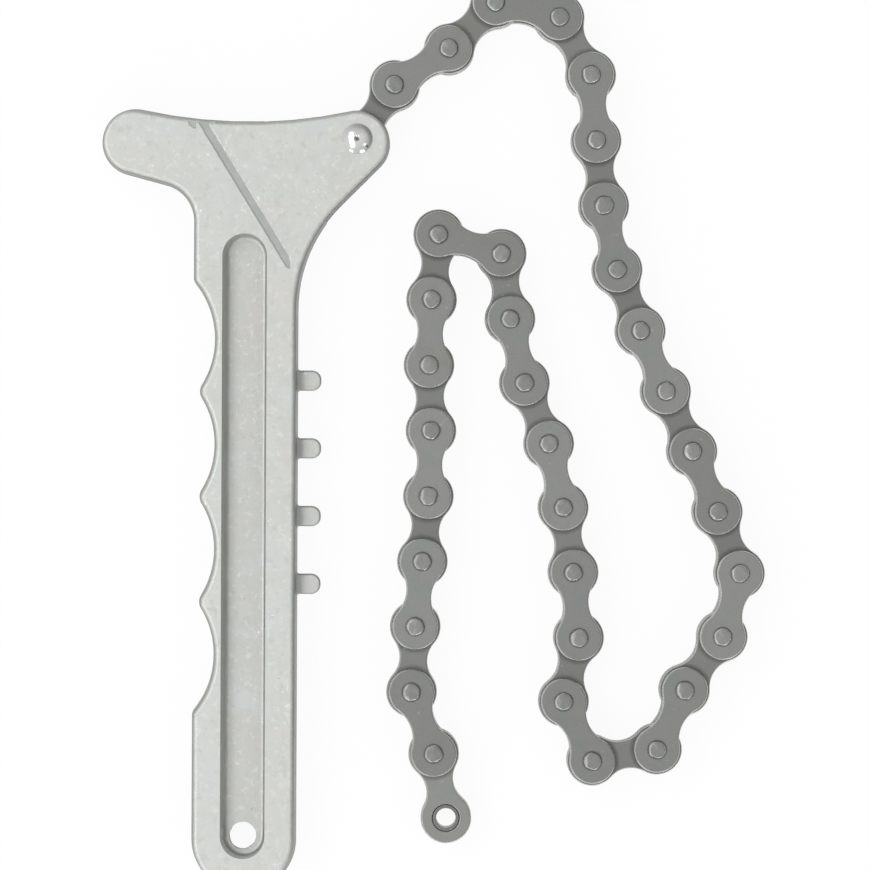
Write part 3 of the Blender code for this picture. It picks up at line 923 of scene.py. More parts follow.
@dataclass
class CastHandle:
    """The casting: head, clevis, grip, hook teeth, pockets, groove and holes. Sizes are in millimetres."""

    thickness: float = 10.8
    half_span: float = 21.55
    head_radius: float = 6.5
    head_dip: float = 2.3
    horn_slope: float = 15.0
    horn_fillet: float = 7.15
    tip_slope: float = 45.0
    crook_radius: float = 28.5
    half_grip: float = 10.18
    reach: float = 135.15
    hole_reach: float = 134.4
    scallop_radius: float = 17.0
    scallop_depth: float = 4.15
    scallop_pitch: float = 20.4
    scallop_start: float = 38.1
    scallop_count: int = 4
    crest_radius: float = 2.6
    corner_radius: float = 2.0
    edge_radius: float = 0.95
    wall_lean: float = 0.22
    seam_height: float = 0.1
    tooth_start: float = 46.1
    tooth_pitch: float = 13.15
    tooth_count: int = 4
    tooth_length: float = 4.5
    tooth_width: float = 3.92
    tooth_thickness: float = 2.8
    tooth_corner: float = 1.75
    tooth_edge: float = 0.45
    tooth_fillet: float = 0.6
    tooth_root: float = 2.0
    tooth_root_corner: float = 0.4
    pocket_radius: float = 4.35
    pocket_start: float = 22.0
    pocket_shift: float = 0.15
    pocket_lean: float = 0.35
    pocket_skew: float = 0.35
    pocket_fillet: float = 0.85
    pocket_lip: float = 0.1
    web: float = 2.6
    hole_radius: float = 2.6
    hole_flare: float = 0.9
    groove_width: float = 1.95
    groove_depth: float = 0.12
    groove_slope: float = GROOVE_SLOPE
    groove_corner: float = 0.46
    groove_end: Point = (8.4, -23.3)
    groove_tip: tuple[Point, ...] = ((0.74, -0.34), (0.6, -0.14), (0.0, 0.16), (-0.8, 0.4))
    dent_places: tuple[tuple[tuple[Point, ...], float], ...] = (
        (((-11.3, 4.6), (-10.7, 3.2), (-10.05, 2.75), (-9.75, 2.8), (-9.6, 4.6)), 0.07),
        (((-6.2, 4.9), (-5.8, 3.75), (-3.6, 3.65), (-3.1, 4.9)), 0.2),
    )
    slot_height: float = 6.5
    slot_reach: float = 13.6
    slot_depth: float = 40.0
    slot_width: float = 80.0
    rivet_place: Point = RIVET_PLACE
    rivet_hole: float = 1.9
    sink_radius: float = 2.7
    sink_depth: float = 1.0
    finish: CastFinish = field(default_factory=CastFinish)
    # painted shade: the recess's faces are a little darker than the handle's, and its walls darken less
    pocket_finish: CastFinish = CastFinish(
        "cast_pocket", (0.61, 0.615, 0.59), (0.54, 0.55, 0.52), (0.585, 0.57, 0.55), wall=(0.56, 0.57, 0.55)
    )
    groove_finish: CoinedFinish = field(default_factory=CoinedFinish)

    def outline(self) -> Outline:
        """The casting's outline at mid-thickness, from under the tip round the head, grip and crook.

        Returns:
            The outline.
        """
        r, span = self.head_radius, self.half_span
        level = r - self.head_dip
        hollow = (span**2 + level**2 - r**2) / (2 * self.head_dip)
        middle = level + hollow
        touch = math.degrees(math.atan2(middle, span))
        bends = [
            Bend((span, 0.0), r, -self.tip_slope, 180 - touch),
            Bend((0.0, middle), hollow, -touch, touch - 180),
            Bend((-span, 0.0), r, touch, 270 - self.horn_slope),
            self.horn_bend(),
            *self.scallops(),
            Bend((0.0, -self.reach), self.half_grip, 180, 360),
            self.crook(),
        ]
        return Outline(bends, 4.0)

    def horn_bend(self) -> Bend:
        """The hollow between the horn's lower edge and the grip.

        Returns:
            The bend.
        """
        lean = math.radians(self.horn_slope)
        start_x = -self.half_span - self.head_radius * math.sin(lean)
        start_y = -self.head_radius * math.cos(lean)
        x = -self.half_grip - self.horn_fillet
        first_x = x + self.horn_fillet * math.sin(lean)
        y = start_y - (first_x - start_x) * math.tan(lean) - self.horn_fillet * math.cos(lean)
        return Bend((x, y), self.horn_fillet, 90 - self.horn_slope, 0)

    def crook(self) -> Bend:
        """The hollow between the grip's toothed side and the edge under the tip.

        Returns:
            The bend.
        """
        x = self.half_grip + self.crook_radius
        lean = math.radians(self.tip_slope)
        offset = self.half_span * math.sin(lean) + self.head_radius
        y = (x * math.sin(lean) - offset - self.crook_radius) / math.cos(lean)
        return Bend((x, y), self.crook_radius, 180, 180 - self.tip_slope)

    def scallops(self) -> list[Bend]:
        """The finger scallops with the crests between them and a rounded corner at each end.

        Returns:
            Their bends, from the head to the grip's end.
        """
        r, corner = self.scallop_radius, self.corner_radius
        x = self.scallop_depth - self.half_grip - r
        across = -self.half_grip + corner - x
        rise = math.sqrt((r + corner) ** 2 - across**2)
        outer = math.degrees(math.atan2(rise, across))
        inner = math.degrees(math.asin(self.scallop_pitch / 2 / (r + self.crest_radius)))
        crest_x = x + (r + self.crest_radius) * math.cos(math.radians(inner))
        first = -self.scallop_start
        last = first - (self.scallop_count - 1) * self.scallop_pitch
        bends = [Bend((-self.half_grip + corner, first + rise), corner, 180, 180 + outer)]
        for i in range(self.scallop_count):
            y = first - i * self.scallop_pitch
            start = outer if i == 0 else inner
            end = outer if i == self.scallop_count - 1 else inner
            bends.append(Bend((x, y), r, start, -end))
            if i < self.scallop_count - 1:
                crest = (crest_x, y - self.scallop_pitch / 2)
                bends.append(Bend(crest, self.crest_radius, 180 - inner, 180 + inner))
        bends.append(Bend((-self.half_grip + corner, last - rise), corner, 180 - outer, 180))
        return bends

    def body(self) -> bpy.types.Mesh:
        """The solid casting: leaning walls, rounded edges, and a trimmed seam where the die halves met.

        Returns:
            A closed mesh.
        """
        half = self.thickness / 2
        seam, lean, edge = -self.seam_height, -self.seam_height - self.wall_lean, self.edge_radius
        above = [(0.14, -0.01), (0.3, seam), (half - edge, lean)]
        above += quarter_round(half - edge, lean, edge, 7)[1:]
        below = [(-height, growth) for height, growth in above[::-1]]
        levels = [(half + height, growth) for height, growth in below + above]
        return lofted("cast_handle", self.outline(), levels)

    def teeth(self) -> list[bpy.types.Mesh]:
        """The hook teeth, each with a rounded end and a fillet where it leaves the wall.

        Returns:
            A closed mesh for each tooth.
        """
        wall = self.half_grip - self.seam_height
        w, c, f = self.tooth_width / 2, self.tooth_corner, self.tooth_fillet
        tip, k = self.half_grip + self.tooth_length, self.tooth_root_corner
        root = self.half_grip - self.tooth_root + k
        low = (self.thickness - self.tooth_thickness) / 2
        high = low + self.tooth_thickness
        made = []
        for i in range(self.tooth_count):
            y = -self.tooth_start - i * self.tooth_pitch
            outline = Outline(
                [
                    Bend((tip - c, y - w + c), c, -90, 0),
                    Bend((tip - c, y + w - c), c, 0, 90),
                    Bend((wall + f, y + w + f), f, 270, 180),
                    Bend((root, y + w + f - k), k, 90, 180),
                    Bend((root, y - w - f + k), k, 180, 270),
                    Bend((wall + f, y - w - f), f, 180, 90),
                ],
                15.0,
            )
            edge = quarter_round(high - self.tooth_edge, 0.0, self.tooth_edge, 4)
            levels = [(low + high - height, growth) for height, growth in edge[::-1]] + edge
            made.append(lofted(f"tooth_{i + 1}", outline, levels))
        return made

    def pocket(self, upper: bool, finish: bpy.types.Material) -> bpy.types.Mesh:
        """The cutter for the long recess in one face.

        Args:
            upper: whether it is the upper face.
            finish: the recess's finish.

        Returns:
            A solid with a leaning left wall, an upright right wall, a filleted floor and a flared mouth.
        """
        mouth = self.thickness
        floor = (self.thickness + self.web) / 2
        lip, fillet = self.pocket_lip, self.pocket_fillet
        outline = Outline(
            [
                Bend((-self.pocket_shift, -self.hole_reach), self.pocket_radius, 180, 360),
                Bend((-self.pocket_shift, -self.pocket_start), self.pocket_radius, 0, 180),
            ],
            6.0,
        )
        floor_edge = quarter_round(floor + fillet, -lip - self.pocket_lean, -fillet, 6)[::-1]
        lip_edge = quarter_round(mouth - lip, -lip, lip, 4, hollow=True)[:-1]
        levels = floor_edge + lip_edge + [(mouth + 0.02, -0.02), (mouth + 1.0, 0.0)]
        skew = Matrix.Identity(4)
        skew[0][2] = -self.pocket_skew / (mouth - floor)
        skew[0][3] = self.pocket_skew * mouth / (mouth - floor)
        if not upper:
            levels = [(self.thickness - height, growth) for height, growth in levels[::-1]]
            skew[0][2], skew[0][3] = -skew[0][2], 0.0
        mesh = lofted("pocket_upper" if upper else "pocket_lower", outline, levels)
        mesh.transform(skew)
        mesh.materials.append(finish)
        return mesh

    def hanging_hole(self) -> bpy.types.Mesh:
        """The cutter for the hanging hole, whose cast edge is a little ragged.

        Returns:
            A closed mesh.
        """
        bends = [Bend((-self.pocket_shift, -self.hole_reach), self.hole_radius, 0, 354)]
        outline = Outline(bends, 6.0).ragged(0.12, 0.8, 3)
        middle, flare = self.thickness / 2, self.hole_flare
        levels = [(-1.0, 0.05), (middle - flare, 0.05), (middle, -0.04), (middle + flare, 0.05)]
        return lofted("hanging_hole", outline, [*levels, (self.thickness + 1, 0.05)])

    def groove(self, finish: bpy.types.Material) -> bpy.types.Mesh:
        """The cutter for the pressed groove across the head's upper face, which narrows at its lower end.

        Args:
            finish: the groove's finish.

        Returns:
            A closed mesh.
        """
        h, r = self.groove_width / 2, self.groove_corner
        far = 2 * self.half_span
        corners = [(-far, r - h), (0.4, r - h), *self.groove_tip, (-1.7, h - r)]
        along = math.radians(self.groove_slope)
        c, d = math.cos(along), math.sin(along)
        x, y = self.groove_end
        placed = [(x + u * c - v * d, y + u * d + v * c) for u, v in [*corners, (-far, h - r)]]
        outline = Outline.rounded(placed, r).split(0.35).ragged(0.1, 0.9, 7)
        face, floor = self.thickness, self.thickness - self.groove_depth
        levels = [(floor, -0.4), (floor + 0.03, -0.28), (face - 0.04, -0.08), (face + 0.01, 0.02)]
        levels.append((face + 1.0, 0.06))
        mesh = lofted("pressed_groove", outline, levels)
        mesh.materials.append(finish)
        return mesh

    def dents(self, finish: bpy.types.Material) -> list[bpy.types.Mesh]:
        """The cutters for the shallow dents that the groove's tool left at the head's edge.

        Args:
            finish: the dents' finish.

        Returns:
            A closed mesh for each dent.
        """
        made = []
        for i, (corners, depth) in enumerate(self.dent_places, start=1):
            outline = Outline.rounded(corners, 0.3).split(0.3).ragged(0.1, 0.6, i)
            face, floor = self.thickness, self.thickness - depth
            levels = [(floor, -0.29), (floor + 0.02, -0.18), (face, 0.02), (face + 0.6, 0.1)]
            made.append(lofted(f"dent_{i}", outline, levels))
            made[-1].materials.append(finish)
        return made

    def clevis_slot(self) -> bpy.types.Mesh:
        """The cutter for the clevis slot, whose back wall runs parallel to the groove.

        Returns:
            A closed mesh.
        """
        across = math.radians(self.groove_slope + 90)
        depth = self.slot_depth
        work = bmesh.new()
        bmesh.ops.create_cube(work, size=1.0)
        mesh = bpy.data.meshes.new("clevis_slot")
        work.to_mesh(mesh)
        work.free()
        x = self.rivet_place[0] + (depth / 2 - self.slot_reach) * math.cos(across)
        y = self.rivet_place[1] + (depth / 2 - self.slot_reach) * math.sin(across)
        spin = Matrix.Rotation(math.radians(self.groove_slope), 4, "Z")
        size = Matrix.Diagonal((self.slot_width, depth, self.slot_height, 1.0))
        mesh.transform(Matrix.Translation((x, y, self.thickness / 2)) @ spin @ size)
        return mesh

    def rivet_bore(self) -> bpy.types.Mesh:
        """The cutter for the rivet's hole through both ears, countersunk below.

        Returns:
            A closed mesh.
        """
        top, r, sink = self.thickness + 1.0, self.rivet_hole, self.sink_radius
        profile = [(0.0, top), (r, top), (r, self.sink_depth + 0.1), (sink, 0.1), (sink, -1.0), (0.0, -1.0)]
        mesh = turned("rivet_bore", profile, 40)
        mesh.transform(Matrix.Translation((*self.rivet_place, 0.0)))
        return mesh

    def build(self) -> bpy.types.Object:
        """Makes the handle and dresses it.

        Returns:
            The handle.
        """
        base = self.body()
        base.materials.append(self.finish.material())
        steps = [(tooth, Join.ADD) for tooth in self.teeth()]
        recess, coined = self.pocket_finish.material(), self.groove_finish.material()
        cutters = [self.pocket(True, recess), self.pocket(False, recess), self.hanging_hole()]
        cutters += [self.groove(coined), *self.dents(coined)]
        cutters += [self.clevis_slot(), self.rivet_bore()]
        steps += [(cutter, Join.CUT) for cutter in cutters]
        for mesh, _ in steps:
            if not mesh.materials:
                mesh.materials.append(base.materials[0])
        mesh = smoothed(joined(base, steps))
        return piece("cast_handle", mesh, "handle", ["handle_casting"])


@dataclass
class ClevisRivet:
    """The rivet that holds the chain in the clevis: a polished dome with a dimple, and a countersunk tail."""

    place: Point = RIVET_PLACE
    seat: float = 10.9
    shank: float = 1.8
    head_radius: float = 2.85
    crown_radius: float = 4.67
    rim: float = 0.07
    dimple_radius: float = 0.6
    dimple_depth: float = 0.3
    tail_radius: float = 2.6
    tail_height: float = 0.9
    tail_lift: float = 0.1
    finish: PolishedFinish = field(default_factory=PolishedFinish)

    def profile(self) -> Levels:
        """The rivet's profile, from the dimple over the dome and down the shank to the tail.

        Returns:
            Radii and heights, from the top down.
        """
        crown = self.seat + self.rim - math.sqrt(self.crown_radius**2 - self.head_radius**2)
        start = self.dimple_radius + 0.1
        top = crown + math.sqrt(self.crown_radius**2 - start**2)
        points = []
        for i in range(5):
            out = self.dimple_radius * i / 4
            points.append((out, top - self.dimple_depth * (1 - (out / self.dimple_radius) ** 2)))
        for i in range(15):
            out = start + (self.head_radius - start) * i / 14
            points.append((out, crown + math.sqrt(self.crown_radius**2 - out**2)))
        points.append((self.head_radius + 0.03, self.seat + self.rim / 2))
        tail_top = self.tail_lift + self.tail_height
        points += [(self.shank, self.seat), (self.shank, tail_top), (self.tail_radius, self.tail_lift)]
        points.append((0.0, self.tail_lift))
        return points

    def build(self) -> bpy.types.Object:
        """Makes the rivet and dresses it.

        Returns:
            The rivet.
        """
        mesh = turned("clevis_rivet", self.profile(), 48)
        mesh.transform(Matrix.Translation((*self.place, 0.0)))
        mesh = smoothed(mesh)
        mesh.materials.append(self.finish.material())
        return piece("clevis_rivet", mesh, "handle", ["chain_rivet"])


# The chain


class LinkTree(Bench):
    """Geometry nodes that set a piece along a link and on both its sides, and lay the link on its hinge."""

    INPUTS = (
        ("Piece", "NodeSocketGeometry", None),
        ("Copies", "NodeSocketInt", 1),
        ("Pitch", "NodeSocketFloat", PITCH),
        ("Level", "NodeSocketFloat", 0.0),
        ("Both Sides", "NodeSocketBool", False),
        ("Spin", "NodeSocketFloat", 0.0),
        ("Peening", "NodeSocketFloat", 0.0),
        ("Peened From", "NodeSocketFloat", 0.0),
        ("Heading", "NodeSocketFloat", 0.0),
        ("Hinge", "NodeSocketVector", (0.0, 0.0, 0.0)),
        ("Seed", "NodeSocketInt", 0),
        ("Finish", "NodeSocketMaterial", None),
    )
    DENT_SCALE = 0.75  # dents per millimetre
    DENT_LIFT = 0.35  # how far a struck point moves up or down, as a share of its way sideways

    def __init__(self) -> None:
        """Builds the tree."""
        self.tree = bpy.data.node_groups.new("chain_link", "GeometryNodeTree")
        super().__init__(self.tree)
        self.identifiers: dict[str, str] = {}
        for name, kind, start in self.INPUTS:
            socket = self.tree.interface.new_socket(name, in_out="INPUT", socket_type=kind)
            if start is not None:
                socket.default_value = start
            self.identifiers[name] = socket.identifier
        self.tree.interface.new_socket("Geometry", in_out="OUTPUT", socket_type="NodeSocketGeometry")
        self.source = self.nodes.new("NodeGroupInput").outputs
        self.lay_out()

    def node(self, kind: str, settings: dict[str, object] | None = None, **inputs: object) -> bpy.types.Node:
        """Adds a node.

        Args:
            kind: the node's type.
            settings: values of its properties.
            inputs: what feeds its inputs, by name with _ for a space; a value, an output or a node.

        Returns:
            The node.
        """
        made = self.nodes.new(kind)
        for name, value in (settings or {}).items():
            setattr(made, name, value)
        for name, value in inputs.items():
            label = name.replace("_", " ")
            socket = next(s for s in made.inputs if s.name == label and s.enabled)
            self.feed(socket, self.out(value) if isinstance(value, bpy.types.Node) else value)
        return made

    def out(self, node: bpy.types.Node) -> bpy.types.NodeSocket:
        """A node's first output in use."""
        return next(s for s in node.outputs if s.enabled)

    def lot(self, low: float, high: float) -> bpy.types.Node:
        """The node that draws a number from low to high for each copy."""
        settings = {"data_type": "FLOAT"}
        return self.node("FunctionNodeRandomValue", settings, Min=low, Max=high, Seed=self.source["Seed"])

    def lay_out(self) -> None:
        """Adds the nodes: copies along the pitch, turned copies below, the lay on the hinge, the peening."""
        given = self.source
        local = self.node(
            "GeometryNodeStoreNamedAttribute",
            {"data_type": "FLOAT_VECTOR", "domain": "POINT"},
            Geometry=given["Piece"],
            Name="local",
            Value=self.node("GeometryNodeInputPosition"),
        )
        step = self.node("ShaderNodeCombineXYZ", X=given["Pitch"])
        row = self.node("GeometryNodeMeshLine", {"mode": "OFFSET"}, Count=given["Copies"], Offset=step)
        spin = self.sum("MULTIPLY", self.out(self.lot(-math.pi, math.pi)), given["Spin"])
        turn = self.node("ShaderNodeCombineXYZ", Z=spin)
        copies = self.node("GeometryNodeInstanceOnPoints", Points=row, Instance=local, Rotation=turn)
        up = self.node("ShaderNodeCombineXYZ", Z=given["Level"])
        upper = self.node("GeometryNodeTransform", Geometry=copies, Translation=up)
        down = self.node("ShaderNodeCombineXYZ", Z=self.sum("MULTIPLY", given["Level"], -1.0))
        over = (math.pi, 0, 0)
        lower = self.node("GeometryNodeTransform", Geometry=copies, Translation=down, Rotation=over)
        feeds = {"Switch": given["Both Sides"], "True": lower}
        chosen = self.node("GeometryNodeSwitch", {"input_type": "GEOMETRY"}, **feeds)
        both = self.node("GeometryNodeJoinGeometry")
        for half in (upper, chosen):
            self.links.new(self.out(half), both.inputs[0])
        toned = self.node(
            "GeometryNodeStoreNamedAttribute",
            {"data_type": "FLOAT", "domain": "INSTANCE"},
            Geometry=both,
            Name="tone",
            Value=self.lot(0.0, 1.0),
        )
        heading = self.node("ShaderNodeCombineXYZ", Z=given["Heading"])
        laid = self.node(
            "GeometryNodeTransform", Geometry=toned, Translation=given["Hinge"], Rotation=heading
        )
        real = self.node("GeometryNodeRealizeInstances", Geometry=laid)
        struck = self.node("GeometryNodeSetPosition", Geometry=real, Offset=self.struck())
        painted = self.node("GeometryNodeSetMaterial", Geometry=struck, Material=given["Finish"])
        self.links.new(self.out(painted), self.nodes.new("NodeGroupOutput").inputs[0])

    def struck(self) -> bpy.types.NodeSocket:
        """The hammer's blows, which are uneven, mostly sideways, and only past the peened height.

        Returns:
            How far each point moves.
        """
        given = self.source
        settings = {"noise_dimensions": "3D"}
        rough = self.node("ShaderNodeTexNoise", settings, Scale=self.DENT_SCALE, Detail=0.5)
        centred = self.measure("SUBTRACT", rough.outputs["Color"], (0.5, 0.5, 0.5))
        flat = self.measure("MULTIPLY", centred, (1.0, 1.0, self.DENT_LIFT))
        own = self.node("GeometryNodeInputNamedAttribute", {"data_type": "FLOAT_VECTOR"}, Name="local")
        split = self.node("ShaderNodeSeparateXYZ", Vector=own)
        past = self.sum("GREATER_THAN", self.sum("ABSOLUTE", split.outputs["Z"]), given["Peened From"])
        share = self.sum("MULTIPLY", past, given["Peening"])
        return self.out(self.node("ShaderNodeVectorMath", {"operation": "SCALE"}, Vector=flat, Scale=share))

    def made(self, name: str, mesh: bpy.types.Mesh, **inputs: object) -> bpy.types.Mesh:
        """The plain mesh that the tree makes of a piece.

        Args:
            name: the new mesh's name.
            mesh: the piece at the link's own origin.
            inputs: values of the tree's inputs, by name with _ for a space.

        Returns:
            The mesh, laid in place.
        """
        obj = stand(name, mesh.copy())
        modifier = obj.modifiers.new("link", "NODES")
        modifier.node_group = self.tree
        for label, value in inputs.items():
            modifier[self.identifiers[label.replace("_", " ")]] = value
        keep_faces_flat(obj)
        return evaluated(obj)


@dataclass
class ChainSizes:
    """The chain's sizes in millimetres."""

    pitch: float = PITCH
    level: float = 5.2
    inner_width: float = 3.3
    plate: float = 1.2
    plate_gap: float = 0.3
    plate_edge: float = 0.35
    inner_radius: float = 4.91
    inner_waist: float = 5.4
    outer_radius: float = 4.46
    outer_waist: float = 4.9
    pin: float = 1.74
    pin_head: float = 0.85
    bore: float = 1.9
    plate_hole: float = 1.58
    bush: float = 2.52
    roller: float = 3.87
    roller_play: float = 0.15

    @property
    def inner_level(self) -> float:
        """The inner plates' middles above and below the link's."""
        return (self.inner_width + self.plate) / 2

    @property
    def outer_level(self) -> float:
        """The outer plates' middles above and below the link's."""
        return self.inner_level + self.plate + self.plate_gap

    @property
    def inner_height(self) -> float:
        """Over both inner plates."""
        return self.inner_width + 2 * self.plate

    @property
    def pin_length(self) -> float:
        """Over both riveted ends."""
        return 2 * (self.outer_level + self.plate / 2 + self.pin_head)


@dataclass
class RollerChain:
    """The chain: its lay, its plates, bushes, rollers and pins, and its free end."""

    head: Point = RIVET_PLACE
    turns: tuple[int, ...] = (
        *(56, -22, 11, -58, -48, -24),
        *(2, 5, 9, 2, 1, -1, -3, -35, -20, 10),
        *(-55, -74, -39, 18, 4, 4, 9, -9, -5),
        *(65, 101, 4, 4, -4, -3, -1, 3, 23, -9),
    )
    sizes: ChainSizes = field(default_factory=ChainSizes)
    # painted shade and grease: on the inner plates beside the outer plates, on the outer plates round the pin
    # heads
    inner_finish: SteelFinish = SteelFinish(
        "inner_plate_steel", (0.236, 0.239, 0.229), (0.217, 0.232, 0.225), (0.229, 0.226, 0.208), 4.7, 5.5
    )
    end_finish: SteelFinish = SteelFinish(
        "free_end_steel", (0.288, 0.290, 0.278), (0.266, 0.284, 0.275), (0.280, 0.276, 0.256), 4.7, 5.5,
        shade_and_grime_ends=(0.0,), eye=2.58,
    )
    outer_finish: SteelFinish = SteelFinish(
        "outer_plate_steel", (0.279, 0.282, 0.272), (0.257, 0.278, 0.269), (0.270, 0.266, 0.248), 1.85, 2.15,
        shade_and_grime_share=0.24,
    )
    pin_finish: SteelFinish = SteelFinish(
        "pin_steel", (0.298, 0.301, 0.290), (0.275, 0.295, 0.285), (0.292, 0.286, 0.264),
        roughness=(0.28, 0.40), grain_size=0.6, grain_depth=0.015,
    )
    roller_finish: SteelFinish = SteelFinish(
        "roller_steel", (0.29, 0.29, 0.28), (0.27, 0.28, 0.275), (0.28, 0.275, 0.255),
        roughness=(0.26, 0.38), grain_size=0.3, grain_depth=0.003, edge=(0.5, 0.5, 0.485),
    )

    def plate(self, name: str, radius: float, waist: float, hole: float) -> bpy.types.Mesh:
        """A link plate with a round end about each pin and hollow flanks.

        Args:
            name: the plate's name.
            radius: the ends' radius.
            waist: the width midway.
            hole: the holes' radius.

        Returns:
            The plate, about its first hole.
        """
        pitch, half = self.sizes.pitch, waist / 2
        flank = ((pitch / 2) ** 2 + half**2 - radius**2) / (2 * (radius - half))
        touch = math.degrees(math.atan2(half + flank, pitch / 2))
        outline = Outline(
            [
                Bend((pitch, 0.0), radius, touch - 180, 180 - touch),
                Bend((pitch / 2, half + flank), flank, -touch, touch - 180),
                Bend((0.0, 0.0), radius, touch, 360 - touch),
                Bend((pitch / 2, -half - flank), flank, 180 - touch, touch),
            ],
            7.0,
        )
        holes = [Outline([Bend((x, 0.0), hole, 0, 350)], 10.0).points for x in (0.0, pitch)]
        mesh = plate_solid(name, [outline.points, *holes], self.sizes.plate, self.sizes.plate_edge)
        return smoothed(mesh, 40.0)

    def pin(self) -> bpy.types.Mesh:
        """A pin with both its riveted ends.

        Returns:
            The pin, about height zero.
        """
        s = self.sizes
        top, face = s.pin_length / 2 - 0.07, s.pin_length / 2 - s.pin_head
        crown = ((0.0, 0.0), (0.45, 0.0), (0.9, 0.01), (1.2, 0.03), (1.4, 0.07), (1.55, 0.14), (1.66, 0.26))
        half = [(radius, top - drop) for radius, drop in (*crown, (1.72, 0.42))]
        half += [(s.pin, height) for height in (face + 0.1, face, face - s.plate - 0.1, 0.0)]
        profile = half + [(radius, -height) for radius, height in half[-2::-1]]
        return smoothed(turned("riveted_pin", profile, 36), 40.0)

    def tube(self, name: str, outer: float, inner: float, height: float, edge: float) -> bpy.types.Mesh:
        """A ring with rounded outer edges.

        Args:
            name: its name.
            outer: its outer radius.
            inner: its bore's radius.
            height: its height.
            edge: its outer edges' radius.

        Returns:
            The ring about height zero.
        """
        half, lip = height / 2, edge / 2
        above = [(inner, half - lip), (inner + lip * 0.3, half - lip * 0.3), (inner + lip, half)]
        above += [(outer - edge, half), (outer - edge * 0.3, half - edge * 0.3), (outer, half - edge)]
        profile = above + [(radius, -height) for radius, height in above[::-1]]
        return smoothed(turned(name, profile, 36, hollow=True), 50.0)

    def places(self) -> list[Place]:
        """Where each link lies.

        Returns:
            For each link its hinge's x and y and its heading in radians.
        """
        (x, y), heading, found = self.head, 0.0, []
        for turn in self.turns:
            heading += math.radians(turn)
            found.append((x, y, heading))
            x += self.sizes.pitch * math.cos(heading)
            y += self.sizes.pitch * math.sin(heading)
        return found

    def build(self) -> list[bpy.types.Object]:
        """Makes every link and dresses it.

        Returns:
            The chain's pieces, from the clevis to the free end.
        """
        s = self.sizes
        kit = LinkKit(
            sizes=s,
            tree=LinkTree(),
            inner_plate=self.plate("inner_plate", s.inner_radius, s.inner_waist, s.bush + 0.02),
            outer_plate=self.plate("outer_plate", s.outer_radius, s.outer_waist, s.plate_hole),
            bush=self.tube("bush", s.bush, s.bore, s.inner_height, 0.12),
            roller=self.tube("roller", s.roller, s.bush + 0.12, s.inner_width - 2 * s.roller_play, 0.3),
            pin=self.pin(),
            inner=self.inner_finish.material(),
            end=self.end_finish.material(),
            outer=self.outer_finish.material(),
            pins=self.pin_finish.material(),
            rollers=self.roller_finish.material(),
        )
        made, places = [], self.places()
        for number, place in enumerate(places, start=1):
            if number == len(places):
                made += kit.free_end(number, place)
            else:
                made += kit.roller_link(number, place) if number % 2 else kit.pin_link(number, place)
        return made


